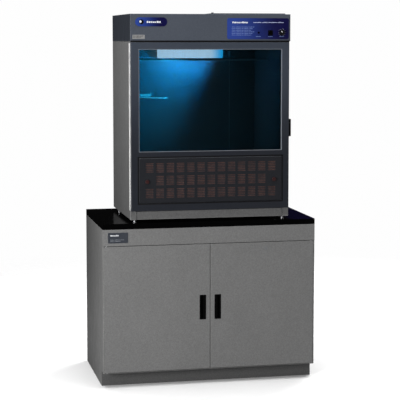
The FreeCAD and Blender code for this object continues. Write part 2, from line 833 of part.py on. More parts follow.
def chamber_door_frame():
    """Hollow door: a front pan with walls round its two openings, and a back sheet."""
    y_low, y_high = head_front, front
    outer = block((door_left, y_low, door_low), (door_right, y_high, door_high))
    outer = bent_edges(outer, door_edge_radius, 1, y_low, "")
    hollow = block((door_left + sheet, y_low + sheet, door_low + sheet),
                   (door_right - sheet, y_high + 1, door_high - sheet))
    hollow = hollow.cut(window_block(trim_thickness + sheet, y_low, y_high + 2))
    hollow = hollow.cut(grille_block(sheet, y_low, y_high + 2))
    skin = outer.cut(hollow)
    skin = skin.cut(window_block(trim_thickness, y_low - 1, y_high + 1))
    skin = skin.cut(grille_block(0, y_low - 1, y_high + 1))
    skin = skin.cut(block((door_left + sheet, y_high - sheet, door_low + sheet),
                          (door_right - sheet, y_high + 1, door_high - sheet)))
    rear = block((door_left + sheet, y_high - sheet, door_low + sheet),
                 (door_right - sheet, y_high, door_high - sheet))
    rear = rear.cut(window_block(-pane_edge, y_low, y_high + 1))
    bosses, bores = [], []
    for x in (-grille_knob_x, grille_knob_x):
        boss_low = y_high - sheet - grille_boss_height
        bosses.append(rod((x, boss_low, grille_knob_z), (x, y_high - sheet, grille_knob_z),
                          grille_boss_radius))
        bores.append(rod((x, boss_low - 1, grille_knob_z), (x, y_high + 1, grille_knob_z),
                         grille_shank_radius + running_gap))
    half_inlet = grille_width / 2 - inlet_side_margin
    inlet = block((-half_inlet, y_low, grille_open_low + inlet_margin),
                  (half_inlet, y_high + 1, grille_open_high - inlet_margin))
    rear = fused([rear.cut(inlet)] + bosses)
    for bore in bores:
        rear = rear.cut(bore)
    return Part.makeCompound([skin, rear])


def window_pane():
    """Toughened glass, held against the door's back sheet."""
    y_high = front - sheet
    return window_block(trim_thickness - lap_gap, y_high - pane_thickness, y_high)


def window_trim():
    """Bright lining of the window opening, in front of the glass."""
    y_low, y_high = head_front - trim_proud, front - sheet - pane_thickness
    lining = window_block(trim_thickness - lap_gap / 2, y_low, y_high)
    return lining.cut(window_block(0, y_low - 1, y_high + 1))


def chamber_pull():
    """Slim bow pull on the door's free edge."""
    z_low = chamber_pull_z - chamber_pull_length / 2
    z_high = z_low + chamber_pull_length
    y_mid = front - door_thickness / 2
    y_low, y_high = y_mid - chamber_pull_width / 2, y_mid + chamber_pull_width / 2
    outer = block((door_right, y_low, z_low), (door_right + chamber_pull_reach, y_high, z_high))
    tip = door_right + chamber_pull_reach
    outer = softened(outer, 4.0, lambda p: near(p.x, tip) and (near(p.z, z_low) or near(p.z, z_high)))
    gap = block((door_right - 1, y_low - 1, z_low + chamber_pull_foot),
                (tip - chamber_pull_bar, y_high + 1, z_high - chamber_pull_foot))
    return outer.cut(gap)


# ---- Air inlet ------------------------------------------------------------------------------
def grille_panel():
    """Inlet panel: a shallow pan with groups of slots, and a hole for each knob."""
    low = (-grille_width / 2, head_front, grille_low)
    high = (grille_width / 2, head_front + grille_fold, grille_high)
    panel = pan(low, high, sheet, 2.0, "+y")
    y_low, y_high = head_front - 1, head_front + 2 * sheet
    cutters = []
    for row in range(cell_rows):
        z = grille_z + (row - (cell_rows - 1) / 2) * cell_pitch_z
        for column in range(cell_columns):
            x = (column - (cell_columns - 1) / 2) * cell_pitch_x
            if row == cell_rows // 2 and column in (0, cell_columns - 1):
                continue
            for number in range(slots_per_cell):
                slot_z = z + (number - (slots_per_cell - 1) / 2) * slot_pitch
                cutters.append(slot_tool(x, slot_z, slot_width, slot_height, y_low, y_high))
    for x in (-grille_knob_x, grille_knob_x):
        cutters.append(rod((x, y_low, grille_knob_z), (x, y_high, grille_knob_z),
                           grille_shank_radius + running_gap))
    return panel.cut(Part.makeCompound(cutters))


def filter_media():
    """Pad of inlet filter media behind the slots."""
    reach = grille_width / 2 - sheet - media_side_gap
    y_low = head_front + sheet + media_gap
    low_z, high_z = grille_low + sheet + media_side_gap, grille_high - sheet - media_side_gap
    pad = block((-reach, y_low, low_z), (reach, y_low + media_thickness, high_z))
    for x in (-grille_knob_x, grille_knob_x):
        pad = pad.cut(rod((x, y_low - 1, grille_knob_z), (x, front, grille_knob_z), grille_shank_radius + 2))
    return pad


def grille_knob(x):
    """Round thumb knob with a plain shank that reaches the door's back sheet."""
    z = grille_knob_z
    tip = head_front - grille_knob_height
    head = rod((x, tip, z), (x, head_front, z), grille_knob_radius)
    head = softened(head, 1.5, lambda p: near(p.y, tip))
    return fused([head, rod((x, head_front - 1, z), (x, front - seat_gap, z), grille_shank_radius)])


# ---- Head -----------------------------------------------------------------------------------
def head_shell():
    """Front and sides of the head in one wrapped sheet, with a closed lower front edge."""
    z_high = head_top_z - sheet
    shell = pan((cabinet_left, head_front, cabinet_top), (-cabinet_left, cabinet_back, z_high),
                sheet, wide_bend, "+y", "z")
    reach = cabinet_width / 2 - wide_bend
    low_z = cabinet_top
    under = block((-reach, head_front + sheet / 2, low_z), (reach, cabinet_front - lap_gap, low_z + sheet))
    shell = fused([shell, under])
    y_low, y_high = head_front - 1, head_front + 2 * sheet
    hole_x, hole_z = bezel_width / 2 - bezel_rim, bezel_height / 2 - bezel_rim
    switch = block((switch_x - hole_x, y_low, switch_z - hole_z),
                   (switch_x + hole_x, y_high, switch_z + hole_z))
    shaft = rod((knob_x, y_low, knob_z), (knob_x, y_high, knob_z), knob_shaft_radius + running_gap)
    return shell.cut(switch).cut(shaft)


def head_lid():
    """Top sheet of the head with its back wall, cut for the filter and the power socket."""
    z_low = head_top_z - sheet
    lid = block((cabinet_left, head_front, z_low), (-cabinet_left, cabinet_back, head_top_z))
    lid = bent_edges(lid, 1.2, 2, head_top_z, "")
    reach = cabinet_width / 2 - sheet - seat_gap
    wall = block((-reach, cabinet_back - sheet, cabinet_top), (reach, cabinet_back, z_low))
    lid = fused([lid, wall])
    mouth = block((cover_left + cover_lap, cover_front + cover_lap, z_low - 1),
                  (cover_right - cover_lap, cover_back - cover_lap, head_top_z + 1))
    half_w, half_h = socket_width / 2 - socket_wall, socket_height / 2 - socket_wall
    socket = block((socket_x - half_w, cabinet_back - 2 * sheet, socket_z - half_h),
                   (socket_x + half_w, cabinet_back + 1, socket_z + half_h))
    screw = rod((cover_screw_x, cover_screw_y, z_low - 1), (cover_screw_x, cover_screw_y, head_top_z + 1),
                cover_shank_radius + running_gap)
    return lid.cut(mouth).cut(socket).cut(screw)


def filter_cover():
    """Slotted cover over the exhaust filter."""
    panel = pan((cover_left, cover_front, head_top_z), (cover_right, cover_back, cover_top), sheet, 2.0, "-z")
    span = cover_back - cover_front - 2 * cover_slot_margin
    pitch = span / (cover_slots - 1)
    bank_pitch = (cover_right - cover_left - cover_slot_margin) / cover_banks
    cutters = []
    for bank in range(cover_banks):
        x = (cover_left + cover_right) / 2 + (bank - (cover_banks - 1) / 2) * bank_pitch
        for number in range(cover_slots):
            y = cover_front + cover_slot_margin + number * pitch
            cutters.append(block((x - cover_slot_length / 2, y - cover_slot_width / 2, head_top_z),
                                 (x + cover_slot_length / 2, y + cover_slot_width / 2, cover_top + 1)))
    cutters.append(rod((cover_screw_x, cover_screw_y, head_top_z),
                       (cover_screw_x, cover_screw_y, cover_top + 1), cover_shank_radius + running_gap))
    return panel.cut(Part.makeCompound(cutters))


def cover_screw():
    """Thumb screw that holds the filter cover."""
    x, y = cover_screw_x, cover_screw_y
    top = cover_top + cover_screw_height
    head = softened(rod((x, y, cover_top), (x, y, top), cover_screw_radius), 1.0, lambda p: near(p.z, top))
    shank = rod((x, y, cover_top - cover_shank_length), (x, y, cover_top + 1), cover_shank_radius)
    return fused([head, shank])


def blower_housing():
    """Round blower case with a side outlet that reaches the filter box."""
    z_low, z_high = cabinet_top, cabinet_top + blower_height
    case = rod((blower_x, blower_y, z_low), (blower_x, blower_y, z_high), blower_radius)
    y_out = blower_y + blower_radius
    duct = block((blower_x, y_out - blower_outlet_width, z_low), (plenum_left - lap_gap, y_out, z_high))
    wall = blower_wall
    inside = rod((blower_x, blower_y, z_low + wall), (blower_x, blower_y, z_high - wall),
                 blower_radius - wall)
    path = block((blower_x, y_out - blower_outlet_width + wall, z_low + wall),
                 (plenum_left + 1, y_out - wall, z_high - wall))
    inlet = rod((blower_x, blower_y, z_low - 1), (blower_x, blower_y, z_low + 2 * wall), inlet_ring_radius)
    shaft = rod((blower_x, blower_y, z_high - 2 * wall), (blower_x, blower_y, z_high + 1),
                wheel_shaft_radius + running_gap)
    return fused([case, duct]).cut(fused([inside, path])).cut(inlet).cut(shaft)


def blower_motor():
    """Motor on top of the blower case."""
    z_low = cabinet_top + blower_height
    body = rod((blower_x, blower_y, z_low), (blower_x, blower_y, z_low + motor_height), motor_radius)
    body = softened(body, 4.0, lambda p: near(p.z, z_low + motor_height))
    bore = rod((blower_x, blower_y, z_low - 1), (blower_x, blower_y, z_low + motor_bore_depth),
               wheel_shaft_radius + running_gap)
    return body.cut(bore)


def blower_wheel():
    """Wheel with a ring of blades between its back plate and front rim, on the motor's shaft."""
    z_low = cabinet_top + (blower_height - wheel_height) / 2
    z_high = z_low + wheel_height
    centre = (blower_x, blower_y)
    pieces = [rod((*centre, z_high - wheel_plate), (*centre, z_high), wheel_radius),
              rod((*centre, z_high - 30), (*centre, z_high), wheel_hub_radius),
              rod((*centre, z_high - 20), (*centre, cabinet_top + blower_height + motor_bore_depth - 2),
                  wheel_shaft_radius)]
    ring = rod((*centre, z_low), (*centre, z_low + wheel_rim), wheel_radius)
    pieces.append(ring.cut(rod((*centre, z_low - 1), (*centre, z_high), wheel_radius - wheel_blade_depth)))
    for number in range(wheel_blades):
        inner = wheel_radius - wheel_blade_depth + 1
        blade = block((blower_x + inner, blower_y - 0.8, z_low + 1),
                      (blower_x + wheel_radius - 1, blower_y + 0.8, z_high - 1))
        blade.rotate(V(*centre, 0), V(0, 0, 1), 360.0 * number / wheel_blades)
        pieces.append(blade)
    return fused(pieces)


def filter_box():
    """Open-topped air box that carries the exhaust filter."""
    low = (plenum_left, plenum_front, cabinet_top)
    high = (plenum_right, plenum_back, cabinet_top + plenum_height)
    case = pan(low, high, sheet, bend, "+z")
    y_out = blower_y + blower_radius
    mouth = block((plenum_left - 1, y_out - blower_outlet_width + blower_wall, cabinet_top + 2 * blower_wall),
                  (plenum_left + 2 * sheet, y_out - blower_wall, cabinet_top + plenum_height - 3 * sheet))
    return case.cut(mouth)


def exhaust_filter():
    """Framed filter block on the air box, recessed on both faces."""
    z_low = cabinet_top + plenum_height
    z_high = z_low + filter_height
    low, high = (plenum_left, plenum_front), (plenum_right, plenum_back)
    frame = block((*low, z_low), (*high, z_high))
    for z in (z_low - 1, z_high - filter_recess):
        recess = block((low[0] + filter_edge, low[1] + filter_edge, z),
                       (high[0] - filter_edge, high[1] - filter_edge, z + filter_recess + 1))
        frame = frame.cut(recess)
    return frame


# ---- Controls and marks ---------------------------------------------------------------------
def control_plate():
    """Front plate of the controls, cut for the switch and the knob's shaft."""
    half_w, half_h = control_plate_width / 2, control_plate_height / 2
    y_low = head_front - control_plate_thickness
    plate = rounded_plate((control_plate_x - half_w, y_low, control_plate_z - half_h),
                          (control_plate_x + half_w, head_front, control_plate_z + half_h),
                          control_plate_corner, 1)
    hole_x, hole_z = bezel_width / 2 - bezel_rim, bezel_height / 2 - bezel_rim
    switch = block((switch_x - hole_x, y_low - 1, switch_z - hole_z),
                   (switch_x + hole_x, front, switch_z + hole_z))
    shaft = rod((knob_x, y_low - 1, knob_z), (knob_x, front, knob_z), knob_shaft_radius + running_gap)
    return plate.cut(switch).cut(shaft)


def rocker_bezel():
    """Rim round the rocker switch."""
    y_high = head_front - control_plate_thickness
    y_low = y_high - bezel_proud
    rim = rounded_plate((switch_x - bezel_width / 2, y_low, switch_z - bezel_height / 2),
                        (switch_x + bezel_width / 2, y_high, switch_z + bezel_height / 2), 2.0, 1)
    hole_x, hole_z = bezel_width / 2 - bezel_rim, bezel_height / 2 - bezel_rim
    return rim.cut(block((switch_x - hole_x, y_low - 1, switch_z - hole_z),
                         (switch_x + hole_x, y_high + 1, switch_z + hole_z)))


def rocker_switch():
    """Rocker with a hollowed face, tipped to its on side."""
    half_w = bezel_width / 2 - bezel_rim - rocker_gap
    half_h = bezel_height / 2 - bezel_rim - rocker_end_room
    y = head_front - control_plate_thickness
    reach = bezel_proud + 2.0
    side = [(y + rocker_depth / 2, -half_h * 0.6), (y + rocker_depth / 2, half_h * 0.6), (y, half_h),
            (y - reach, half_h), (y - reach / 2, 0), (y - reach, -half_h), (y, -half_h)]
    points = [V(switch_x - half_w, py, switch_z + pz) for py, pz in side + side[:1]]
    rocker = Part.Face(Part.makePolygon(points)).extrude(V(2 * half_w, 0, 0))
    rocker.rotate(V(switch_x, y, switch_z), V(1, 0, 0), rocker_tilt)
    return rocker


def timer_knob():
    """Skirted knob with a raised pointer bar, on its shaft."""
    y_high = head_front - control_plate_thickness
    y_low = y_high - knob_height
    x, z = knob_x, knob_z
    skirt = rod((x, y_high - knob_skirt, z), (x, y_high - lap_gap, z), knob_radius)
    skirt = softened(skirt, 1.0, lambda p: near(p.y, y_high - knob_skirt))
    grip = rod((x, y_low + 2, z), (x, y_high - 1, z), knob_grip_radius)
    grip = softened(grip, 1.5, lambda p: near(p.y, y_low + 2))
    bar = rounded_plate((x - 2.5, y_low, z - knob_grip_radius + 0.5),
                        (x + 2.5, y_high - 1, z + knob_grip_radius - 0.5), 1.5, 1)
    shaft = rod((x, y_high - 1, z), (x, y_high + knob_shaft_length, z), knob_shaft_radius)
    return fused([skirt, grip, bar, shaft])


def badge():
    """Round-ended plate on the head's left."""
    half_w, half_h = badge_width / 2, badge_height / 2
    return rounded_plate((badge_x - half_w, head_front - plate_thickness, badge_z - half_h),
                         (badge_x + half_w, head_front, badge_z + half_h), half_h - 0.5, 1)


def power_socket():
    """Recessed mains inlet in the head's back."""
    half_w, half_h = socket_width / 2, socket_height / 2
    flange = rounded_plate((socket_x - half_w, cabinet_back, socket_z - half_h),
                           (socket_x + half_w, cabinet_back + socket_flange, socket_z + half_h), 3.0, 1)
    inner_w, inner_h = half_w - socket_wall - lap_gap, half_h - socket_wall - lap_gap
    y_low = cabinet_back - socket_depth
    case = block((socket_x - inner_w, y_low, socket_z - inner_h),
                 (socket_x + inner_w, cabinet_back, socket_z + inner_h))
    hollow = block((socket_x - inner_w + socket_wall, y_low + socket_wall, socket_z - inner_h + socket_wall),
                   (socket_x + inner_w - socket_wall, cabinet_back + 5, socket_z + inner_h - socket_wall))
    body = fused([flange, case]).cut(hollow)
    pins = []
    for x in (socket_x - socket_pin_pitch, socket_x, socket_x + socket_pin_pitch):
        pins.append(block((x - 1, y_low + 1, socket_z - 3), (x + 1, cabinet_back - 5, socket_z + 3)))
    return fused([body] + pins)


# ---- Every node, in the order that the cabinet goes together ------------------------------------
nodes = {
    "base_left_side": base_left_side, "base_right_side": base_right_side, "base_back": base_back,
    "base_deck": base_deck, "base_toe_kick": base_toe_kick, "base_apron": base_apron,
    "base_shelf": base_shelf, "base_shelf_clips": base_shelf_clips, "base_hinge_pins": base_hinge_pins,
    "base_door_catches": base_door_catches, "base_nameplate": base_nameplate, "worktop": worktop,
    "left_door": left_door, "left_door_pull": left_door_pull,
    "right_door": right_door, "right_door_pull": right_door_pull,
    "cabinet_left_side": cabinet_left_side, "cabinet_right_side": cabinet_right_side,
    "cabinet_rear": cabinet_rear, "cabinet_floor": cabinet_floor, "sill_panel": sill_panel,
    "liner_left": liner_left, "liner_right": liner_right, "liner_back": liner_back,
    "liner_floor": liner_floor, "liner_ceiling": liner_ceiling, "hanging_rod": hanging_rod,
    "side_shelf": side_shelf, "lamp_housing": lamp_housing, "lamp_lens": lamp_lens, "door_seal": door_seal,
    "hinge_frame_leaf": hinge_frame_leaf, "hinge_door_leaf": hinge_door_leaf,
    "chamber_door_frame": chamber_door_frame, "window_pane": window_pane, "window_trim": window_trim,
    "chamber_pull": chamber_pull, "grille_panel": grille_panel, "filter_media": filter_media,
    "grille_knob_left": lambda: grille_knob(-grille_knob_x),
    "grille_knob_right": lambda: grille_knob(grille_knob_x),
    "head_shell": head_shell, "head_lid": head_lid, "filter_cover": filter_cover,
    "cover_screw": cover_screw, "blower_housing": blower_housing, "blower_motor": blower_motor,
    "blower_wheel": blower_wheel, "filter_box": filter_box, "exhaust_filter": exhaust_filter,
    "control_plate": control_plate, "rocker_bezel": rocker_bezel, "rocker_switch": rocker_switch,
    "timer_knob": timer_knob, "badge": badge, "power_socket": power_socket,
    "foot_front_left": lambda: levelling_foot("front_left"),
    "foot_front_right": lambda: levelling_foot("front_right"),
    "foot_back_left": lambda: levelling_foot("back_left"),
    "foot_back_right": lambda: levelling_foot("back_right"),
}

os.makedirs("parts", exist_ok=True)
for node, build in nodes.items():
    shape = build()
    box = shape.BoundBox
    shape.exportStep(os.path.join("parts", node + ".step"))
    print(f"{node:22s} solids {len(shape.Solids)} valid {shape.isValid()} "
          f"volume {shape.Volume / 1000:.1f} cm3 z {box.ZMin:.1f} to {box.ZMax:.1f}")
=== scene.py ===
"""Looks for a benchtop drying cabinet on its two-door base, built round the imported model."""

from __future__ import annotations

import logging
import math
from dataclasses import dataclass, field
from enum import Enum
from typing import Callable, Iterable, Sequence

import bmesh
import bpy
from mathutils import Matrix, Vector


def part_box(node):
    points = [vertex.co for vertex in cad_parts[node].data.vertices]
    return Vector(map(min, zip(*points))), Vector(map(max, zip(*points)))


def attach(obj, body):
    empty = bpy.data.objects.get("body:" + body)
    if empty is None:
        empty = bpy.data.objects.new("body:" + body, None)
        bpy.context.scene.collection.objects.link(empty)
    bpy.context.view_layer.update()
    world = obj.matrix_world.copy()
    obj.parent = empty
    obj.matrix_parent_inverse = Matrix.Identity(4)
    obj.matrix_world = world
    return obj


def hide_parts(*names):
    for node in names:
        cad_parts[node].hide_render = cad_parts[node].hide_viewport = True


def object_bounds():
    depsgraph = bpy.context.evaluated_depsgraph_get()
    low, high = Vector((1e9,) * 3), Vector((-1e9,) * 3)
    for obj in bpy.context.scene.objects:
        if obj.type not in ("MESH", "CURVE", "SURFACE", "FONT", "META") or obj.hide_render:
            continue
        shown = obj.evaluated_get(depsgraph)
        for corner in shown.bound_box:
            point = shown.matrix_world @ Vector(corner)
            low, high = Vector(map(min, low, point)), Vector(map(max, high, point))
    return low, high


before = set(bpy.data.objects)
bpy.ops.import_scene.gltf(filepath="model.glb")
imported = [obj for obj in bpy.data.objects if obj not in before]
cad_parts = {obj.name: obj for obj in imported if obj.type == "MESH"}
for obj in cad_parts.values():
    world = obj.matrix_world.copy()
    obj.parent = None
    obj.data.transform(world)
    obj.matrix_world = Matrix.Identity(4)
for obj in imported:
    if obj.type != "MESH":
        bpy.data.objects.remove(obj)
CAD_LOW, CAD_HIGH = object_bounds()
LOG = logging.getLogger("drying_cabinet")

Colour = tuple[float, float, float]
Stretch = tuple[float, float, float]
Place = tuple[float, float, float]
Socket = bpy.types.NodeSocket
Piece = bpy.types.Object
Material = bpy.types.Material
Test = Callable[[Vector, Vector], bool]

EVEN = (1.0, 1.0, 1.0)
NOISE_LOW, NOISE_HIGH = 0.3, 0.7  # the range most of a noise pattern lies in
SINK = 0.0002  # how far an added piece reaches into the one it lies on
CORE_REACH = 0.001  # how near a face's middle has to be to count as the core of a dish
INK_LIFT, INK_SINK = 0.0003, 0.0001  # printed blocks above and below their surface


class Slot(Enum):
    """Material slots of the record, passed along with new pieces but not read."""

    INNER_GREY = "inner_grey"
    SLATE_BLUE = "slate_blue"
    BLACK_PLASTIC = "black_plastic"
    BLANK_PLATE = "blank_plate"
    BLUE_BADGE = "blue_badge"
    CONTROL_PANEL = "control_panel"
    BRIGHT_STEEL = "bright_steel"
    BOLT_CHROME = "bolt_chrome"
    MEDIA_RED = "media_red"
    LAMP_WHITE = "lamp_white"


class Axis(Enum):
    """Directions that round pieces stand along."""

    X = 0
    Y = 1
    Z = 2

    def turn(self) -> tuple[float, float, float]:
        """Rotation that stands a round primitive along this axis."""
        return {0: (0.0, math.pi / 2, 0.0), 1: (math.pi / 2, 0.0, 0.0), 2: (0.0, 0.0, 0.0)}[self.value]


# ---- Finishes --------------------------------------------------------------------------------
class Sheet:
    """A material's node tree, with short calls for adding and joining nodes."""

    def __init__(self, name: str) -> None:
        """Starts an empty material with an output node."""
        self.material = bpy.data.materials.new(name)
        self.material.use_nodes = True
        self.tree = self.material.node_tree
        self.tree.nodes.clear()
        self.output = self.tree.nodes.new("ShaderNodeOutputMaterial")
        self.place = self.tree.nodes.new("ShaderNodeTexCoord").outputs["Object"]

    def add(self, kind: str, **settings: object) -> bpy.types.Node:
        """Adds a node.

        Args:
            kind: node type, without its "ShaderNode" start.
            settings: attributes to set on it.

        Returns:
            The new node.
        """
        node = self.tree.nodes.new("ShaderNode" + kind)
        for key, value in settings.items():
            setattr(node, key, value)
        return node

    def feed(self, target: Socket, value: object) -> None:
        """Links a socket into target, or sets target to a plain value.

        Args:
            target: the socket that is fed.
            value: a socket, colour or number.
        """
        if isinstance(value, bpy.types.NodeSocket):
            self.tree.links.new(value, target)
        elif isinstance(value, tuple) and len(value) == 3 and target.type == "RGBA":
            target.default_value = (*value, 1.0)
        else:
            target.default_value = value

    def sums(self, operation: str, first: object, second: object = 0.0, clamp: bool = False) -> Socket:
        """A maths node.

        Args:
            operation: the node's operation name.
            first: a socket or number.
            second: a socket or number.
            clamp: keep the result between 0 and 1.

        Returns:
            The result's socket.
        """
        node = self.add("Math", operation=operation, use_clamp=clamp)
        self.feed(node.inputs[0], first)
        self.feed(node.inputs[1], second)
        return node.outputs[0]

    def noise(self, scale: float, detail: float = 2.0, rough: float = 0.5,
              stretch: Stretch = EVEN) -> Socket:
        """A noise pattern on the piece's own place.

        Args:
            scale: features per metre.
            detail: octaves.
            rough: weight of the small octaves.
            stretch: factor on each axis.

        Returns:
            The pattern's value.
        """
        where = self.place
        if stretch != EVEN:
            mapping = self.add("Mapping")
            mapping.inputs["Scale"].default_value = stretch
            self.feed(mapping.inputs["Vector"], self.place)
            where = mapping.outputs["Vector"]
        node = self.add("TexNoise")
        node.inputs["Scale"].default_value = scale
        node.inputs["Detail"].default_value = detail
        node.inputs["Roughness"].default_value = rough
        self.feed(node.inputs["Vector"], where)
        return node.outputs["Fac"]

    def spread(self, value: Socket, low: float, high: float, to_low: float = 0.0, to_high: float = 1.0,
               smooth: bool = False) -> Socket:
        """Maps a value from one range to another.

        Args:
            value: what is mapped.
            low: start of its range.
            high: end of its range.
            to_low: result at low.
            to_high: result at high.
            smooth: ease in and out.

        Returns:
            The mapped value.
        """
        node = self.add("MapRange", interpolation_type="SMOOTHSTEP" if smooth else "LINEAR")
        for key, number in (("From Min", low), ("From Max", high), ("To Min", to_low),
                            ("To Max", to_high)):
            node.inputs[key].default_value = number
        self.feed(node.inputs["Value"], value)
        return node.outputs["Result"]

    def vary(self, low: float, high: float, scale: float, detail: float = 2.0, rough: float = 0.5,
             stretch: Stretch = EVEN) -> Socket:
        """A noise pattern spread between two numbers.

        Args:
            low: result where the pattern is low.
            high: result where it is high.
            scale: features per metre.
            detail: octaves.
            rough: weight of the small octaves.
            stretch: factor on each axis.

        Returns:
            The spread value.
        """
        return self.spread(self.noise(scale, detail, rough, stretch), NOISE_LOW, NOISE_HIGH, low, high)

    def along(self, axis: Axis) -> Socket:
        """The place on one axis, in metres.

        Args:
            axis: which axis.

        Returns:
            The place's socket.
        """
        node = self.add("SeparateXYZ")
        self.feed(node.inputs[0], self.place)
        return node.outputs[axis.value]

    def facing(self, axis: Axis) -> Socket:
        """How far a face looks along one axis, from -1 to 1.

        Args:
            axis: which axis.

        Returns:
            The normal's share of that axis.
        """
        node = self.add("SeparateXYZ")
        self.feed(node.inputs[0], self.add("NewGeometry").outputs["Normal"])
        return node.outputs[axis.value]

    def blend(self, share: object, first: object, second: object, mode: str = "MIX") -> Socket:
        """A colour mix.

        Args:
            share: how much of second.
            first: a colour or socket.
            second: a colour or socket.
            mode: the mix node's blend type.

        Returns:
            The mixed colour.
        """
        node = self.add("Mix", data_type="RGBA", blend_type=mode)
        self.feed(node.inputs[0], share)
        self.feed(node.inputs[6], first)
        self.feed(node.inputs[7], second)
        return node.outputs[2]

    def shade(self, colour: object, factor: Socket) -> Socket:
        """A colour made darker or lighter by a factor.

        Args:
            colour: a colour or socket.
            factor: what it is multiplied by.

        Returns:
            The shaded colour.
        """
        node = self.add("CombineColor")
        for socket in node.inputs[:3]:
            self.feed(socket, factor)
        return self.blend(1.0, colour, node.outputs[0], "MULTIPLY")

    def bump(self, height: Socket, strength: float, distance: float) -> Socket:
        """A bump from a height.

        Args:
            height: the pattern.
            strength: 0 to 1.
            distance: height of the pattern in metres.

        Returns:
            The bent normal.
        """
        node = self.add("Bump")
        node.inputs["Strength"].default_value = strength
        node.inputs["Distance"].default_value = distance
        self.feed(node.inputs["Height"], height)
        return node.outputs["Normal"]

    def edge(self, radius: float) -> Socket:
        """How much a point lies on a sharp edge, from 0 on a flat to 1 on the edge.

        Args:
            radius: how far from the edge it reaches, in metres.

        Returns:
            The share's socket.
        """
        rounded = self.add("Bevel", samples=4)
        rounded.inputs["Radius"].default_value = radius
        flat = self.add("NewGeometry")
        dot = self.add("VectorMath", operation="DOT_PRODUCT")
        self.feed(dot.inputs[0], rounded.outputs["Normal"])
        self.feed(dot.inputs[1], flat.outputs["Normal"])
        return self.spread(dot.outputs["Value"], low=0.995, high=0.86, to_low=0.0, to_high=1.0)

    def surface(self, colour: object, roughness: object, metallic: float = 0.0, specular: float = 0.5,
                normal: Socket | None = None) -> bpy.types.Node:
        """Adds the surface shader and joins it to the output.

        Args:
            colour: base colour or socket.
            roughness: number or socket.
            metallic: from 0 for paint to 1 for bare metal.
            specular: plain specular level.
            normal: a bent normal.

        Returns:
            The shader node.
        """
        node = self.add("BsdfPrincipled")
        self.feed(node.inputs["Base Color"], colour)
        self.feed(node.inputs["Roughness"], roughness)
        node.inputs["Metallic"].default_value = metallic
        node.inputs["Specular IOR Level"].default_value = specular
        if normal is not None:
            self.feed(node.inputs["Normal"], normal)
        self.feed(self.output.inputs["Surface"], node.outputs["BSDF"])
        return node

    def layer(self, share: Socket, under: Socket, over: Socket) -> None:
        """Mixes two shaders, by how much of the second, and joins the mix to the output.

        Args:
            share: how much of the second.
            under: the first shader.
            over: the second shader.
        """
        mix = self.add("MixShader")
        for socket, value in zip(mix.inputs, (share, under, over)):
            self.feed(socket, value)
        self.feed(self.output.inputs["Surface"], mix.outputs[0])


@dataclass(frozen=True)
class PowderCoat:
    """Baked powder paint: fine orange peel, a little mottle and lighter folds, partly rubbed wear
    and partly a painted highlight along the edges.

    The low colour shows below low_z and fades into colour up to high_z, a painted shade towards the
    foot. side is a painted shade on the faces that look sideways, and the back share is what is left of
    the tone at the object's back, a painted shade there.
    """

    name: str
    colour: Colour
    painted_low_shade: Colour | None = None
    low_z: float = 0.0
    high_z: float = 1.0
    roughness: float = 0.5
    specular: float = 0.4
    grain: float = 0.10
    peel: float = 0.25
    wear_and_highlight: float = 0.35
    wear_and_highlight_colour: Colour = (0.42, 0.42, 0.41)
    wear_and_highlight_radius: float = 0.003
    side: float = 1.0
    painted_back_shade: float = 1.0

    def make(self) -> Material:
        """Builds the material.

        Returns:
            The material.
        """
        sheet = Sheet(self.name)
        colour: object = self.colour
        # painted shade: the low colour darkens the paint towards the foot
        if self.painted_low_shade is not None:
            height = sheet.spread(sheet.along(Axis.Z), low=self.low_z, high=self.high_z, smooth=True)
            colour = sheet.blend(height, self.painted_low_shade, self.colour)
        mottle = sheet.vary(low=0.97, high=1.03, scale=5.0, detail=3.0, rough=0.55)
        speck = sheet.vary(low=1 - self.grain, high=1 + self.grain, scale=170.0, detail=3.0, rough=0.75)
        shade = sheet.sums("MULTIPLY", mottle, speck)
        # painted shade: faces that look sideways are darkened
        if self.side != 1.0:
            painted_side_shade = sheet.spread(sheet.sums("ABSOLUTE", sheet.facing(Axis.X)), low=0.3, high=0.9,
                                  to_low=1.0, to_high=self.side)
            shade = sheet.sums("MULTIPLY", shade, painted_side_shade)
        # painted shade: the tone fades towards the object's back
        if self.painted_back_shade != 1.0:
            depth = sheet.spread(sheet.along(Axis.Y), low=CAD_LOW[1], high=CAD_HIGH[1], to_low=1.0,
                                 to_high=self.painted_back_shade)
            shade = sheet.sums("MULTIPLY", shade, depth)
        toned = sheet.shade(colour, shade)
        # lighter folds: rubbed wear, and a painted highlight along the edges
        patchy = sheet.spread(sheet.noise(scale=60.0, detail=4.0, rough=0.6), low=0.35, high=0.65,
                              to_low=0.35, to_high=1.0)
        wear_and_highlight_mask = sheet.sums("MULTIPLY", sheet.edge(self.wear_and_highlight_radius), patchy)
        wear_and_highlight_mask = sheet.sums("MULTIPLY", wear_and_highlight_mask, self.wear_and_highlight, clamp=True)
        toned = sheet.blend(wear_and_highlight_mask, toned, self.wear_and_highlight_colour)
        gloss = sheet.vary(low=self.roughness - 0.05, high=self.roughness + 0.07, scale=14.0, detail=3.0)
        normal = sheet.bump(sheet.noise(scale=900.0, detail=2.0, rough=0.5), strength=self.peel,
                            distance=0.0002)
        sheet.surface(toned, gloss, specular=self.specular, normal=normal)
        return sheet.material


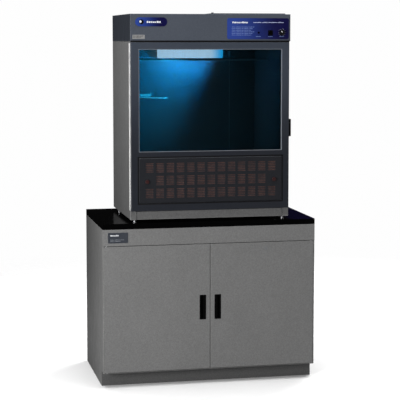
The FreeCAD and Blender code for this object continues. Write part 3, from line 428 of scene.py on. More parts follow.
@dataclass(frozen=True)
class Resin:
    """Cast black bench resin: polished, faintly smeared, with a painted blue reflection on the top of one
    end.
    """

    name: str
    colour: Colour
    painted_reflection: Colour
    reflection_from: float
    reflection_to: float
    fleck_colour: Colour = (0.006, 0.006, 0.007)
    specular: float = 0.2

    def make(self) -> Material:
        """Builds the material.

        Returns:
            The material.
        """
        sheet = Sheet(self.name)
        # painted reflection: dark blue on the upward faces towards the top's right end
        reflection_share = sheet.spread(sheet.along(Axis.X), low=self.reflection_from, high=self.reflection_to, smooth=True)
        reflection_share = sheet.sums("MULTIPLY", reflection_share, sheet.spread(sheet.facing(Axis.Z), low=0.5, high=0.9))
        fleck = sheet.spread(sheet.noise(scale=700.0, detail=1.0), low=0.62, high=0.78, to_low=0.0,
                             to_high=0.3)
        colour = sheet.blend(reflection_share, self.colour, self.painted_reflection)
        colour = sheet.blend(fleck, colour, self.fleck_colour)
        gloss = sheet.vary(low=0.09, high=0.2, scale=3.0, detail=4.0, rough=0.6, stretch=(1.0, 2.5, 1.0))
        normal = sheet.bump(sheet.noise(scale=260.0, detail=2.0), strength=0.05, distance=0.0001)
        sheet.surface(colour, gloss, specular=self.specular, normal=normal)
        return sheet.material


@dataclass(frozen=True)
class Moulded:
    """Moulded plastic or rubber: even colour, a fine spark-eroded grain and dull handling marks."""

    name: str
    colour: Colour
    roughness: float = 0.4
    grain_scale: float = 1400.0
    grain: float = 0.3
    specular: float = 0.4

    def make(self) -> Material:
        """Builds the material.

        Returns:
            The material.
        """
        sheet = Sheet(self.name)
        haze = sheet.spread(sheet.noise(scale=30.0, detail=4.0, rough=0.6), low=0.35, high=0.75,
                            to_low=0.0, to_high=0.25)
        lighter = tuple(min(1.0, c * 1.6 + 0.004) for c in self.colour)
        colour = sheet.blend(haze, self.colour, lighter)
        gloss = sheet.vary(low=self.roughness - 0.06, high=self.roughness + 0.1, scale=45.0, detail=3.0)
        normal = sheet.bump(sheet.noise(scale=self.grain_scale, detail=2.0), strength=self.grain,
                            distance=0.00015)
        sheet.surface(colour, gloss, specular=self.specular, normal=normal)
        return sheet.material


@dataclass(frozen=True)
class Brushed:
    """Bare or plated metal with fine lines along one axis."""

    name: str
    colour: Colour
    roughness: float = 0.28
    lines: Stretch = (1.0, 60.0, 60.0)
    strength: float = 0.12
    metallic: float = 1.0

    def make(self) -> Material:
        """Builds the material.

        Returns:
            The material.
        """
        sheet = Sheet(self.name)
        streak = sheet.noise(scale=22.0, detail=5.0, rough=0.65, stretch=self.lines)
        darker = tuple(c * 0.7 for c in self.colour)
        colour = sheet.blend(sheet.spread(streak, NOISE_LOW, NOISE_HIGH), darker, self.colour)
        gloss = sheet.vary(low=self.roughness - 0.08, high=self.roughness + 0.1, scale=18.0, detail=4.0,
                           rough=0.6)
        normal = sheet.bump(streak, strength=self.strength, distance=0.0002)
        sheet.surface(colour, gloss, metallic=self.metallic, normal=normal)
        return sheet.material


@dataclass(frozen=True)
class Smoked:
    """Smoked glass: dark tint, a weak mirror and a trace of wiping marks."""

    name: str
    tint: Colour
    mirror: float = 0.35
    index: float = 1.45

    def make(self) -> Material:
        """Builds the material.

        Returns:
            The material.
        """
        sheet = Sheet(self.name)
        through = sheet.add("BsdfTransparent")
        sheet.feed(through.inputs["Color"], self.tint)
        shine = sheet.add("BsdfGlossy")
        sheet.feed(shine.inputs["Roughness"],
                   sheet.spread(sheet.noise(scale=9.0, detail=5.0, rough=0.65, stretch=(1.0, 1.0, 2.2)),
                                low=0.35, high=0.7, to_low=0.02, to_high=0.09))
        fresnel = sheet.add("Fresnel")
        fresnel.inputs["IOR"].default_value = self.index
        share = sheet.sums("MULTIPLY", fresnel.outputs[0], self.mirror)
        sheet.layer(share, through.outputs[0], shine.outputs[0])
        return sheet.material


@dataclass(frozen=True)
class Glowing:
    """Lit lamp diffuser: whitest in the middle and bluer towards its ends.

    half is the lit half length, and shift moves its middle to the left.
    """

    name: str
    middle: Colour
    ends: Colour
    half: float
    strength: float
    shift: float = 0.035
    unlit: Colour = (0.006, 0.006, 0.006)

    def make(self) -> Material:
        """Builds the material.

        Returns:
            The material.
        """
        sheet = Sheet(self.name)
        reach = sheet.sums("ABSOLUTE", sheet.sums("ADD", sheet.along(Axis.X), self.shift))
        share = sheet.spread(reach, low=self.half * 0.62, high=self.half, smooth=True)
        flutes = sheet.vary(low=0.86, high=1.08, scale=40.0, detail=1.0, rough=0.5,
                            stretch=(6.0, 0.4, 0.4))
        glow = sheet.shade(sheet.blend(share, self.middle, self.ends), flutes)
        shader = sheet.surface(self.unlit, 0.35, specular=0.0)
        sheet.feed(shader.inputs["Emission Color"], glow)
        shader.inputs["Emission Strength"].default_value = self.strength
        return sheet.material


@dataclass(frozen=True)
class Printed:
    """Printed polycarbonate overlay whose ink runs from one blue to another across it."""

    name: str
    left: Colour
    right: Colour
    x_from: float
    x_to: float
    dots: float = 0.075

    def make(self) -> Material:
        """Builds the material.

        Returns:
            The material.
        """
        sheet = Sheet(self.name)
        across = sheet.spread(sheet.along(Axis.X), low=self.x_from, high=self.x_to, smooth=True)
        drift = sheet.vary(low=-0.06, high=0.06, scale=12.0, detail=3.0)
        colour = sheet.blend(sheet.sums("ADD", across, drift, clamp=True), self.left, self.right)
        screen = sheet.spread(sheet.noise(scale=1500.0, detail=1.0), low=0.35, high=0.65,
                              to_low=1 - self.dots, to_high=1 + self.dots)
        colour = sheet.shade(colour, screen)
        normal = sheet.bump(sheet.noise(scale=1800.0, detail=2.0), strength=0.12, distance=0.0001)
        gloss = sheet.vary(low=0.3, high=0.42, scale=25.0, detail=3.0)
        sheet.surface(colour, gloss, specular=0.3, normal=normal)
        return sheet.material


@dataclass(frozen=True)
class Felted:
    """Filter fibre: reddish felt with lighter pink threads and grey dust."""

    name: str
    colour: Colour
    thread: Colour
    dust: Colour

    def make(self) -> Material:
        """Builds the material.

        Returns:
            The material.
        """
        sheet = Sheet(self.name)
        fibre = sheet.spread(sheet.noise(scale=700.0, detail=5.0, rough=0.7, stretch=(1.0, 1.0, 0.25)),
                             low=0.4, high=0.62)
        patches = sheet.spread(sheet.noise(scale=22.0, detail=4.0, rough=0.6), low=0.42, high=0.68,
                               to_low=0.0, to_high=0.75)
        colour = sheet.blend(fibre, self.colour, self.thread)
        colour = sheet.blend(patches, colour, self.dust)
        normal = sheet.bump(sheet.noise(scale=900.0, detail=4.0, rough=0.7), strength=0.6,
                            distance=0.0006)
        sheet.surface(colour, 0.95, specular=0.1, normal=normal)
        return sheet.material


# ---- Bench work ------------------------------------------------------------------------------
def front(_: Vector, normal: Vector) -> bool:
    """True for a face that looks forwards."""
    return normal.y < -0.9


class Bench:
    """Hand moves with Blender's own operators, one piece at a time."""

    @staticmethod
    def clear() -> None:
        """Leaves edit mode and selects nothing."""
        if bpy.context.object is not None and bpy.context.object.mode != "OBJECT":
            bpy.ops.object.mode_set(mode="OBJECT")
        bpy.ops.object.select_all(action="DESELECT")

    @staticmethod
    def take(piece: Piece) -> None:
        """Makes piece the only selected and active object.

        Args:
            piece: the piece.
        """
        Bench.clear()
        piece.select_set(True)
        bpy.context.view_layer.objects.active = piece

    @staticmethod
    def named(name: str) -> Piece:
        """Names the newest object and puts its place into its mesh.

        Args:
            name: the piece's name.

        Returns:
            The piece.
        """
        piece = bpy.context.object
        piece.name = piece.data.name = name
        bpy.ops.object.transform_apply(location=True, rotation=True, scale=True)
        return piece

    @staticmethod
    def block(name: str, low: Sequence[float], high: Sequence[float]) -> Piece:
        """Starts a piece as a block between two corners.

        Args:
            name: the piece's name.
            low: its low corner.
            high: its high corner.

        Returns:
            The piece.
        """
        Bench.clear()
        low, high = Vector(low), Vector(high)
        bpy.ops.mesh.primitive_cube_add(size=1.0, location=(low + high) / 2)
        bpy.context.object.scale = high - low
        return Bench.named(name)

    @staticmethod
    def disc(name: str, centre: Sequence[float], radius: float, depth: float, axis: Axis,
             sides: int = 48) -> Piece:
        """Starts a piece as a round slug on an axis.

        Args:
            name: the piece's name.
            centre: its middle.
            radius: its radius.
            depth: its length along the axis.
            axis: the way it stands.
            sides: how many flats make its round.

        Returns:
            The piece.
        """
        Bench.clear()
        bpy.ops.mesh.primitive_cylinder_add(vertices=sides, radius=radius, depth=depth, location=centre,
                                            rotation=axis.turn())
        return Bench.named(name)

    @staticmethod
    def open_up(piece: Piece, kind: str) -> bmesh.types.BMesh:
        """Opens piece for editing with nothing selected.

        Args:
            piece: the piece.
            kind: VERT, EDGE or FACE, what is going to be picked.

        Returns:
            Its mesh, for picking.
        """
        Bench.take(piece)
        bpy.ops.object.mode_set(mode="EDIT")
        bpy.ops.mesh.select_mode(type=kind)
        bpy.ops.mesh.select_all(action="DESELECT")
        return bmesh.from_edit_mesh(piece.data)

    @staticmethod
    def pick_faces(piece: Piece, test: Test) -> int:
        """Opens piece for editing with the faces that pass the test selected.

        Args:
            piece: the piece.
            test: takes a face's middle and normal.

        Returns:
            How many faces were picked.
        """
        mesh = Bench.open_up(piece, "FACE")
        picked = [f for f in mesh.faces if test(f.calc_center_median(), f.normal)]
        for face in picked:
            face.select_set(True)
        bmesh.update_edit_mesh(piece.data)
        return len(picked)

    @staticmethod
    def pick_edges(piece: Piece, test: Test) -> int:
        """Opens piece for editing with the edges that pass the test selected.

        Args:
            piece: the piece.
            test: takes an edge's middle and direction.

        Returns:
            How many edges were picked.
        """
        mesh = Bench.open_up(piece, "EDGE")
        count = 0
        for edge in mesh.edges:
            ends = [v.co for v in edge.verts]
            if test((ends[0] + ends[1]) / 2, (ends[1] - ends[0]).normalized()):
                edge.select_set(True)
                count += 1
        bmesh.update_edit_mesh(piece.data)
        return count

    @staticmethod
    def inset(piece: Piece, test: Test, rim: float, depth: float = 0.0,
              each: bool = False) -> None:
        """Insets picked faces, and lifts or sinks them.

        Args:
            piece: the piece.
            test: picks the faces.
            rim: how far in.
            depth: how far out, or in if below 0.
            each: inset every face by itself.
        """
        if Bench.pick_faces(piece, test):
            bpy.ops.mesh.inset(thickness=rim, depth=depth, use_individual=each, use_even_offset=True)
        Bench.clear()

    @staticmethod
    def dish(piece: Piece, middle: Vector, rim: float, wall: float, depth: float) -> None:
        """Sinks a front face inside a rim.

        Args:
            piece: the piece.
            middle: the face's middle; its Y isn't used.
            rim: the rim's width.
            wall: how far the sunk face's wall leans in.
            depth: how deep it is sunk.
        """
        Bench.inset(piece, front, rim=rim)
        Bench.inset(piece, lambda m, n: front(m, n) and (m - middle).xz.length < CORE_REACH, rim=wall,
                    depth=-depth)

    @staticmethod
    def push(piece: Piece, test: Test, move: Sequence[float]) -> None:
        """Extrudes picked faces by a move.

        Args:
            piece: the piece.
            test: picks the faces.
            move: where they go.
        """
        if Bench.pick_faces(piece, test):
            bpy.ops.mesh.extrude_region_move(TRANSFORM_OT_translate={"value": tuple(move)})
        Bench.clear()

    @staticmethod
    def round_edges(piece: Piece, test: Test, width: float, steps: int = 3) -> None:
        """Bevels picked edges.

        Args:
            piece: the piece.
            test: picks the edges.
            width: how far the bevel reaches from each edge.
            steps: how many flats make its round.
        """
        if Bench.pick_edges(piece, test):
            bpy.ops.mesh.bevel(offset=width, segments=steps, affect="EDGES", clamp_overlap=True)
        Bench.clear()

    @staticmethod
    def slice(piece: Piece, axis: Axis, places: Iterable[float]) -> None:
        """Cuts a piece through, square to an axis, at each place.

        Args:
            piece: the piece.
            axis: the axis the cuts are square to.
            places: where on that axis each cut is.
        """
        normal = [0.0, 0.0, 0.0]
        normal[axis.value] = 1.0
        Bench.take(piece)
        bpy.ops.object.mode_set(mode="EDIT")
        for place in places:
            point = [0.0, 0.0, 0.0]
            point[axis.value] = place
            bpy.ops.mesh.select_all(action="SELECT")
            bpy.ops.mesh.bisect(plane_co=point, plane_no=normal)
        Bench.clear()

    @staticmethod
    def apply(piece: Piece, kind: str, **settings: object) -> None:
        """Adds a modifier of a kind with its settings, and applies it.

        Args:
            piece: the piece.
            kind: the modifier's type.
            settings: attributes to set on it.
        """
        Bench.take(piece)
        modifier = piece.modifiers.new(kind.title(), kind)
        for key, value in settings.items():
            setattr(modifier, key, value)
        bpy.ops.object.modifier_apply(modifier=modifier.name)

    @staticmethod
    def turn(piece: Piece, angle: float, centre: Sequence[float], axis: Axis) -> None:
        """Turns a piece about a point.

        Args:
            piece: the piece.
            angle: degrees, right-handed about the axis.
            centre: the point it turns about.
            axis: the axis it turns about.
        """
        Bench.take(piece)
        bpy.ops.transform.rotate(value=-math.radians(angle), orient_axis=axis.name,
                                 orient_type="GLOBAL", center_override=tuple(centre))
        bpy.ops.object.transform_apply(location=True, rotation=True, scale=True)
        Bench.clear()

    @staticmethod
    def copy(piece: Piece, move: Sequence[float]) -> Piece:
        """Copies a piece with its own mesh, and moves the copy.

        Args:
            piece: the piece.
            move: how far the copy goes.

        Returns:
            The copy.
        """
        Bench.take(piece)
        bpy.ops.object.duplicate(linked=False)
        twin = bpy.context.object
        twin.location = Vector(move)
        bpy.ops.object.transform_apply(location=True, rotation=True, scale=True)
        return twin

    @staticmethod
    def join(name: str, pieces: Sequence[Piece]) -> Piece:
        """Joins pieces into the first, under a name.

        Args:
            name: the whole's name.
            pieces: what is joined.

        Returns:
            The whole.
        """
        Bench.clear()
        for piece in pieces:
            piece.select_set(True)
        bpy.context.view_layer.objects.active = pieces[0]
        if len(pieces) > 1:
            bpy.ops.object.join()
        whole = bpy.context.object
        whole.name = whole.data.name = name
        return whole

    @staticmethod
    def finish(piece: Piece, material: Material, body: str, slot: Slot,
               angle: float = 35.0) -> None:
        """Smooths, dresses and hangs a finished piece on its body.

        Args:
            piece: the piece.
            material: its finish.
            body: the moving body it rides on.
            slot: the record's slot; not used.
            angle: edges sharper than this stay crisp.
        """
        Bench.take(piece)
        bpy.ops.object.mode_set(mode="EDIT")
        bpy.ops.mesh.select_all(action="SELECT")
        bpy.ops.mesh.normals_make_consistent(inside=False)
        Bench.take(piece)
        bpy.ops.object.shade_smooth_by_angle(angle=math.radians(angle))
        piece.data.materials.clear()
        piece.data.materials.append(material)
        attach(piece, body)
        Bench.clear()


def dress(material: Material, *nodes: str) -> None:
    """Gives carried-over parts a finish in place of the plain one.

    Args:
        material: the finish.
        nodes: the parts' names.
    """
    for name in nodes:
        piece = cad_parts[name]
        if not piece.material_slots:
            piece.data.materials.append(material)
        for slot in piece.material_slots:
            slot.material = material


# ---- Finishes of this object -----------------------------------------------------------------
@dataclass
class Finishes:
    """Every finish of the object, made once and shared."""

    made: dict[str, Material] = field(default_factory=dict)

    def build(self) -> None:
        """Makes them all."""
        slate = (0.068, 0.078, 0.098)
        plans = [
            # base paint: lighter folds, partly rubbed wear and partly a painted highlight along the edges
            PowderCoat("base_paint", (0.178, 0.178, 0.177), specular=0.2, grain=0.2, wear_and_highlight=0.6),
            # base flanks: painted shade that fades them to about half their tone towards the back
            PowderCoat("flank_paint", (0.184, 0.184, 0.183), specular=0.2, grain=0.24, wear_and_highlight=0.6,
                       painted_back_shade=0.52),
            # toe kick: a darker copy of the base paint, painted shade under the doors
            PowderCoat("toe_paint", (0.098, 0.098, 0.098), specular=0.2, grain=0.2),
            # cabinet flanks: painted shade darker towards the foot and the back, and light folds that are
            # partly wear and partly a painted highlight of the front edge
            PowderCoat("side_paint", (0.174, 0.175, 0.175), (0.132, 0.132, 0.132), 0.95, 1.9,
                       wear_and_highlight=0.55, wear_and_highlight_colour=(0.60, 0.60, 0.59), wear_and_highlight_radius=0.004, specular=0.2,
                       grain=0.26, painted_back_shade=0.78),
            # head: painted shade darkens the flanks that look sideways
            PowderCoat("head_slate", slate, wear_and_highlight=0.4, wear_and_highlight_colour=(0.25, 0.27, 0.31), roughness=0.42,
                       specular=0.2, side=0.55),
            # door frame: painted shade, darker towards its foot
            PowderCoat("door_slate", (0.044, 0.053, 0.071), (0.017, 0.019, 0.025), 1.25, 1.9,
                       wear_and_highlight=0.5, wear_and_highlight_colour=(0.16, 0.17, 0.20), roughness=0.42, specular=0.2),
            PowderCoat("grille_slate", (0.015, 0.016, 0.0195), wear_and_highlight=0.6, wear_and_highlight_colour=(0.07, 0.08, 0.09),
                       roughness=0.45, specular=0.2),
            PowderCoat("chamber_paint", (0.150, 0.150, 0.145), wear_and_highlight=0.15),
            PowderCoat("rack_paint", (0.80, 0.82, 0.82), wear_and_highlight=0.1, grain=0.05),
            PowderCoat("shelf_paint", (0.26, 0.26, 0.26), wear_and_highlight=0.3),
            # worktop: a painted blue reflection on the right end of its top
            Resin("bench_resin", (0.0012, 0.0012, 0.0013), (0.003, 0.002, 0.017), 0.44, 0.50),
            Moulded("black_plastic", (0.0012, 0.0012, 0.0013), 0.5, specular=0.05),
            Moulded("dial_black", (0.004, 0.004, 0.005), 0.35),
            Moulded("seal_rubber", (0.005, 0.005, 0.006), 0.62, grain=0.5, specular=0.15),
            # light grey of the painted highlight along the inlet panel's top
            Moulded("lip_grey", (0.100, 0.108, 0.122), 0.5, grain=0.6),
            Moulded("knob_red", (0.030, 0.008, 0.008), 0.42),
            Moulded("motor_black", (0.02, 0.02, 0.022), 0.55),
            Moulded("white_print", (0.75, 0.77, 0.80), 0.5, grain=0.1),
            Moulded("soft_print", (0.42, 0.46, 0.66), 0.5, grain=0.1),
            Moulded("pale_print", (0.16, 0.23, 0.48), 0.5, grain=0.1),
            Moulded("filter_pack", (0.72, 0.71, 0.68), 0.85, grain=0.6),
            Moulded("plate_slate", (0.039, 0.044, 0.055), 0.35, grain=0.15),
            Brushed("bright_steel", (0.62, 0.63, 0.64)),
            Brushed("bolt_chrome", (0.72, 0.72, 0.73), 0.2, strength=0.05),
            Brushed("foot_zinc", (0.13, 0.13, 0.135), 0.38, strength=0.05),
            Brushed("trim_grey", (0.42, 0.45, 0.50), 0.35, (60.0, 60.0, 1.0), metallic=0.35),
            Brushed("rod_steel", (0.62, 0.64, 0.65), 0.32, metallic=0.1),
            Brushed("lamp_metal", (0.7, 0.7, 0.7), 0.4, metallic=0.0),
            Moulded("rating_foil", (0.24, 0.24, 0.24), 0.5, grain=0.15),
            Smoked("smoked_glass", (0.22, 0.29, 0.31)),
            Glowing("lamp_glow", (0.95, 0.88, 1.0), (0.03, 0.50, 0.95), 0.222, 6.8),
            Printed("panel_print", (0.024, 0.052, 0.260), (0.003, 0.002, 0.044), 0.10, 0.40),
            Printed("badge_print", (0.022, 0.052, 0.260), (0.004, 0.003, 0.042), -0.42, -0.27),
            Felted("filter_felt", (0.095, 0.046, 0.040), (0.20, 0.115, 0.10), (0.058, 0.044, 0.044)),
            # hinge leaves: a light satin grey, partly the zinc's own colour and partly a painted
            # highlight of the side's front edge
            Moulded("satin_zinc", (0.72, 0.72, 0.71), 0.4, grain=0.15),
        ]
        for plan in plans:
            self.made[plan.name] = plan.make()

    def __getitem__(self, name: str) -> Material:
        """The finish of that name."""
        return self.made[name]


# ---- Screws, used all over -------------------------------------------------------------------
@dataclass
class PanScrew:
    """Pan-head cross-recess screw, modelled once and copied. The cross is sized by the head's radius."""

    radius: float = 0.0042
    height: float = 0.0022
    recess: float = 0.0011
    cross_reach: float = 0.55
    cross_width: float = 0.14
    sides: int = 16
    pitch: float = 0.15

    def heads(self, name: str, places: Sequence[Sequence[float]], axis: Axis, outward: float) -> Piece:
        """Makes the heads of a set of screws as one piece.

        Args:
            name: the piece's name.
            places: where each screw meets its panel.
            axis: the screws' axis.
            outward: 1 or -1, the way the heads face along it.

        Returns:
            The joined heads.
        """
        way = Vector((0.0, 0.0, 0.0))
        way[axis.value] = outward
        first = Bench.disc("screw", way * self.height / 2, radius=self.radius, depth=self.height,
                           axis=axis, sides=self.sides)
        Bench.round_edges(first, lambda m, d: m.dot(way) > self.height * 0.9 and
                          (m - way * m.dot(way)).length > self.radius * 0.9, width=self.height * 0.6,
                          steps=3)
        for narrow in (i for i in range(3) if i != axis.value):
            half = Vector((self.radius * self.cross_reach,) * 3)
            half[narrow] = self.radius * self.cross_width
            half[axis.value] = self.recess
            tip = way * self.height
            bit = Bench.block("bit", tip - half, tip + half)
            Bench.apply(first, "BOOLEAN", operation="DIFFERENCE", object=bit, solver="EXACT")
            bpy.data.objects.remove(bit)
        copies = [Bench.copy(first, place) for place in places]
        bpy.data.objects.remove(first)
        return Bench.join(name, copies)

    def border(self, finishes: Finishes, name: str, panel: str, inset: float) -> None:
        """Screws all round the edge of a panel that faces backwards.

        Args:
            finishes: the made finishes.
            name: the piece's name.
            panel: the panel's name.
            inset: how far the screws stand in from its edges.
        """
        low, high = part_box(panel)
        spans = [(low.x + inset, high.x - inset), (low.z + inset, high.z - inset)]
        steps = [max(2, round((far - near) / self.pitch)) for near, far in spans]
        xs, zs = ([near + (far - near) * i / count for i in range(count + 1)]
                  for (near, far), count in zip(spans, steps))
        places = [(x, high.y, z) for x in xs for z in zs if x in (xs[0], xs[-1]) or z in (zs[0], zs[-1])]
        screws = self.heads(name, places, Axis.Y, 1.0)
        Bench.finish(screws, finishes["bolt_chrome"], "cabinet", Slot.BOLT_CHROME)


# ---- Rows of blank blocks, in place of print --------------------------------------------------
BLOCK_WIDTHS = (0.55, 0.78, 0.66, 0.82)  # shares of a row's stride
BLOCK_HEIGHTS = (1.0, 0.72, 0.86, 0.72, 0.78)  # shares of a row's height
BLOCK_GAP, WORD_GAP, END_ROOM = 0.22, 0.5, 0.8  # shares of a row's stride


def blanks(low_x: float, high_x: float, z: float, face: float, height: float, stride: float,
           words: Sequence[int]) -> list[Piece]:
    """A row of small blank blocks, set like words but without any letters.

    Args:
        low_x: where the row starts.
        high_x: where it must have ended.
        z: its middle height.
        face: the surface it is printed on.
        height: the tallest block's height.
        stride: about how far apart the blocks are.
        words: how many blocks each word has, repeated until the row is full.

    Returns:
        The blocks.
    """
    made, x, word, count = [], low_x, 0, 0
    while x + stride * END_ROOM < high_x:
        wide = stride * BLOCK_WIDTHS[(count * 3 + word) % len(BLOCK_WIDTHS)]
        tall = height * BLOCK_HEIGHTS[(count * 2 + word) % len(BLOCK_HEIGHTS)]
        made.append(Bench.block("blank", (x, face - INK_LIFT, z - height / 2),
                                (x + wide, face + INK_SINK, z - height / 2 + tall)))
        x += wide + stride * BLOCK_GAP
        count += 1
        if count == words[word % len(words)]:
            x, word, count = x + stride * WORD_GAP, word + 1, 0
    return made


# ---- Sub-assemblies --------------------------------------------------------------------------
@dataclass
class BaseCabinet:
    """Two-door base: painted steel, a resin worktop and recessed pulls."""

    finishes: Finishes
    rim: float = 0.0025
    rim_in: float = 0.001
    rim_lift: float = 0.0004
    text_in: float = 0.013
    mark_width: float = 0.052
    mark_height: float = 0.0075
    mark_down: float = 0.0155
    note_up: float = 0.0185
    note_pitch: float = 0.0075
    screw_inset: float = 0.016

    def dress(self) -> None:
        """Gives the carried-over parts their finishes."""
        kit = self.finishes
        dress(kit["base_paint"], "base_back", "base_deck", "base_apron", "left_door", "right_door")
        dress(kit["flank_paint"], "base_left_side", "base_right_side")
        dress(kit["toe_paint"], "base_toe_kick")
        dress(kit["shelf_paint"], "base_shelf")
        dress(kit["bright_steel"], "base_shelf_clips", "base_hinge_pins")
        dress(kit["black_plastic"], "base_door_catches", "left_door_pull", "right_door_pull")
        dress(kit["bench_resin"], "worktop")
        dress(kit["plate_slate"], "base_nameplate")

    def build(self) -> None:
        """Adds the nameplate's rim and blank rows, and the back's flat screws."""
        low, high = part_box("base_nameplate")
        face, edge, start = low.y, self.rim_in, low.x + self.text_in
        rim = Bench.block("nameplate_rim", (low.x + edge, face - self.rim_lift, low.z + edge),
                          (high.x - edge, face + SINK, high.z - edge))
        Bench.dish(rim, (low + high) / 2, rim=self.rim, wall=0.0003, depth=0.0005)
        Bench.finish(rim, self.finishes["plate_slate"], "cabinet", Slot.BLANK_PLATE)
        mark = blanks(start, start + self.mark_width, high.z - self.mark_down, face - SINK,
                      height=self.mark_height, stride=0.0075, words=(8,))
        Bench.finish(Bench.join("nameplate_mark", mark), self.finishes["white_print"], "cabinet",
                     Slot.BLANK_PLATE)
        notes = []
        for row in range(2):
            line = low.z + self.note_up - self.note_pitch * row
            notes += blanks(start, high.x - 0.020 * (row + 1), line, face - SINK, height=0.0030,
                            stride=0.0050, words=(5, 7, 4))
        Bench.finish(Bench.join("nameplate_notes", notes), self.finishes["trim_grey"], "cabinet",
                     Slot.BLANK_PLATE)
        flat = PanScrew(height=0.0012, recess=0.0006)
        flat.border(self.finishes, "base_back_screws", "base_back", self.screw_inset)


@dataclass
class DryingCabinet:
    """Upper cabinet: painted shell, light inner panels, rod, shelf, lamp and seal."""

    finishes: Finishes
    lens_ribs: int = 64
    lens_round: float = 0.020
    rib_depth: float = 0.0009
    joint_x: float = 0.250
    bead_half: float = 0.0011
    bead_end: float = 0.004
    collar_in: float = 0.0045
    collar_length: float = 0.005
    seam_half: float = 0.0016
    screw_inset: float = 0.013

    def dress(self) -> None:
        """Gives the carried-over parts their finishes."""
        kit = self.finishes
        dress(kit["side_paint"], "cabinet_left_side", "cabinet_right_side", "cabinet_rear",
              "cabinet_floor", "sill_panel")
        dress(kit["chamber_paint"], "liner_left", "liner_right", "liner_back", "liner_floor",
              "liner_ceiling")
        dress(kit["rack_paint"], "side_shelf")
        dress(kit["rod_steel"], "hanging_rod")
        dress(kit["lamp_metal"], "lamp_housing")
        dress(kit["seal_rubber"], "door_seal")
        dress(kit["foot_zinc"], "foot_front_left", "foot_front_right", "foot_back_left",
              "foot_back_right")

    def build(self) -> None:
        """Adds the ribbed lamp cover, the seam beads, the rod's collars and the rear screws."""
        self.lens()
        self.beads()
        self.collars()
        self.seams()
        PanScrew().border(self.finishes, "rear_screws", "cabinet_rear", self.screw_inset)

    def lens(self) -> None:
        """A ribbed diffuser in place of the plain one."""
        low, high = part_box("lamp_lens")
        lens = Bench.block("lamp_diffuser", low, high)
        Bench.round_edges(lens, lambda m, d: abs(d.x) > 0.9 and m.z < low.z + 0.001,
                          width=self.lens_round, steps=6)
        pitch = (high.x - low.x) / self.lens_ribs
        Bench.slice(lens, Axis.X, [low.x + pitch * i for i in range(1, self.lens_ribs)])
        Bench.inset(lens, lambda m, n: abs(n.x) < 0.1 and n.z < 0.5 and
                    int((m.x - low.x) / pitch) % 2 == 0, rim=pitch * 0.12, depth=-self.rib_depth)
        Bench.finish(lens, self.finishes["lamp_glow"], "cabinet", Slot.LAMP_WHITE)
        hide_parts("lamp_lens")

    def beads(self) -> None:
        """Sealant beads along the lining's upright seams."""
        low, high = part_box("liner_back")
        beads = []
        for x in (self.joint_x, high.x - 0.0015):
            bead = Bench.block("bead", (x - self.bead_half, low.y - 0.0006, low.z + self.bead_end),
                               (x + self.bead_half, low.y + SINK, high.z - self.bead_end))
            Bench.round_edges(bead, lambda m, d: abs(d.z) > 0.9 and m.y < low.y, width=0.0006, steps=3)
            beads.append(bead)
        Bench.finish(Bench.join("liner_beads", beads), self.finishes["rack_paint"], "cabinet",
                     Slot.INNER_GREY)

    def collars(self) -> None:
        """Light collars at the hanging rod's ends."""
        low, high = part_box("hanging_rod")
        mid = (low + high) / 2
        collars = []
        for x, way in ((low.x + self.collar_in, 1.0), (high.x - self.collar_in, -1.0)):
            collar = Bench.disc("collar", (x, mid.y, mid.z), radius=(high.z - low.z) / 2 - 0.0004,
                                depth=self.collar_length, axis=Axis.X, sides=32)
            Bench.round_edges(collar, lambda m, d: (m.x - x) * way > 0.002, width=0.0012, steps=3)
            collars.append(collar)
        Bench.finish(Bench.join("rod_collars", collars), self.finishes["rack_paint"], "cabinet",
                     Slot.BRIGHT_STEEL)

    def seams(self) -> None:
        """Dark strips in the gaps at the sill's two ends: painted shade of the gaps."""
        low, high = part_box("sill_panel")
        seams = []
        # painted shade: a dark strip stands in each end gap
        for x in (low.x, high.x):
            seam = Bench.block("seam", (x - self.seam_half, low.y - 0.0005, low.z + 0.001),
                               (x + self.seam_half, low.y + SINK, high.z - 0.001))
            Bench.round_edges(seam, lambda m, d: abs(d.z) > 0.9 and m.y < low.y, width=0.0004, steps=2)
            seams.append(seam)
        Bench.finish(Bench.join("sill_seams", seams), self.finishes["seal_rubber"], "cabinet",
                     Slot.BLACK_PLASTIC)


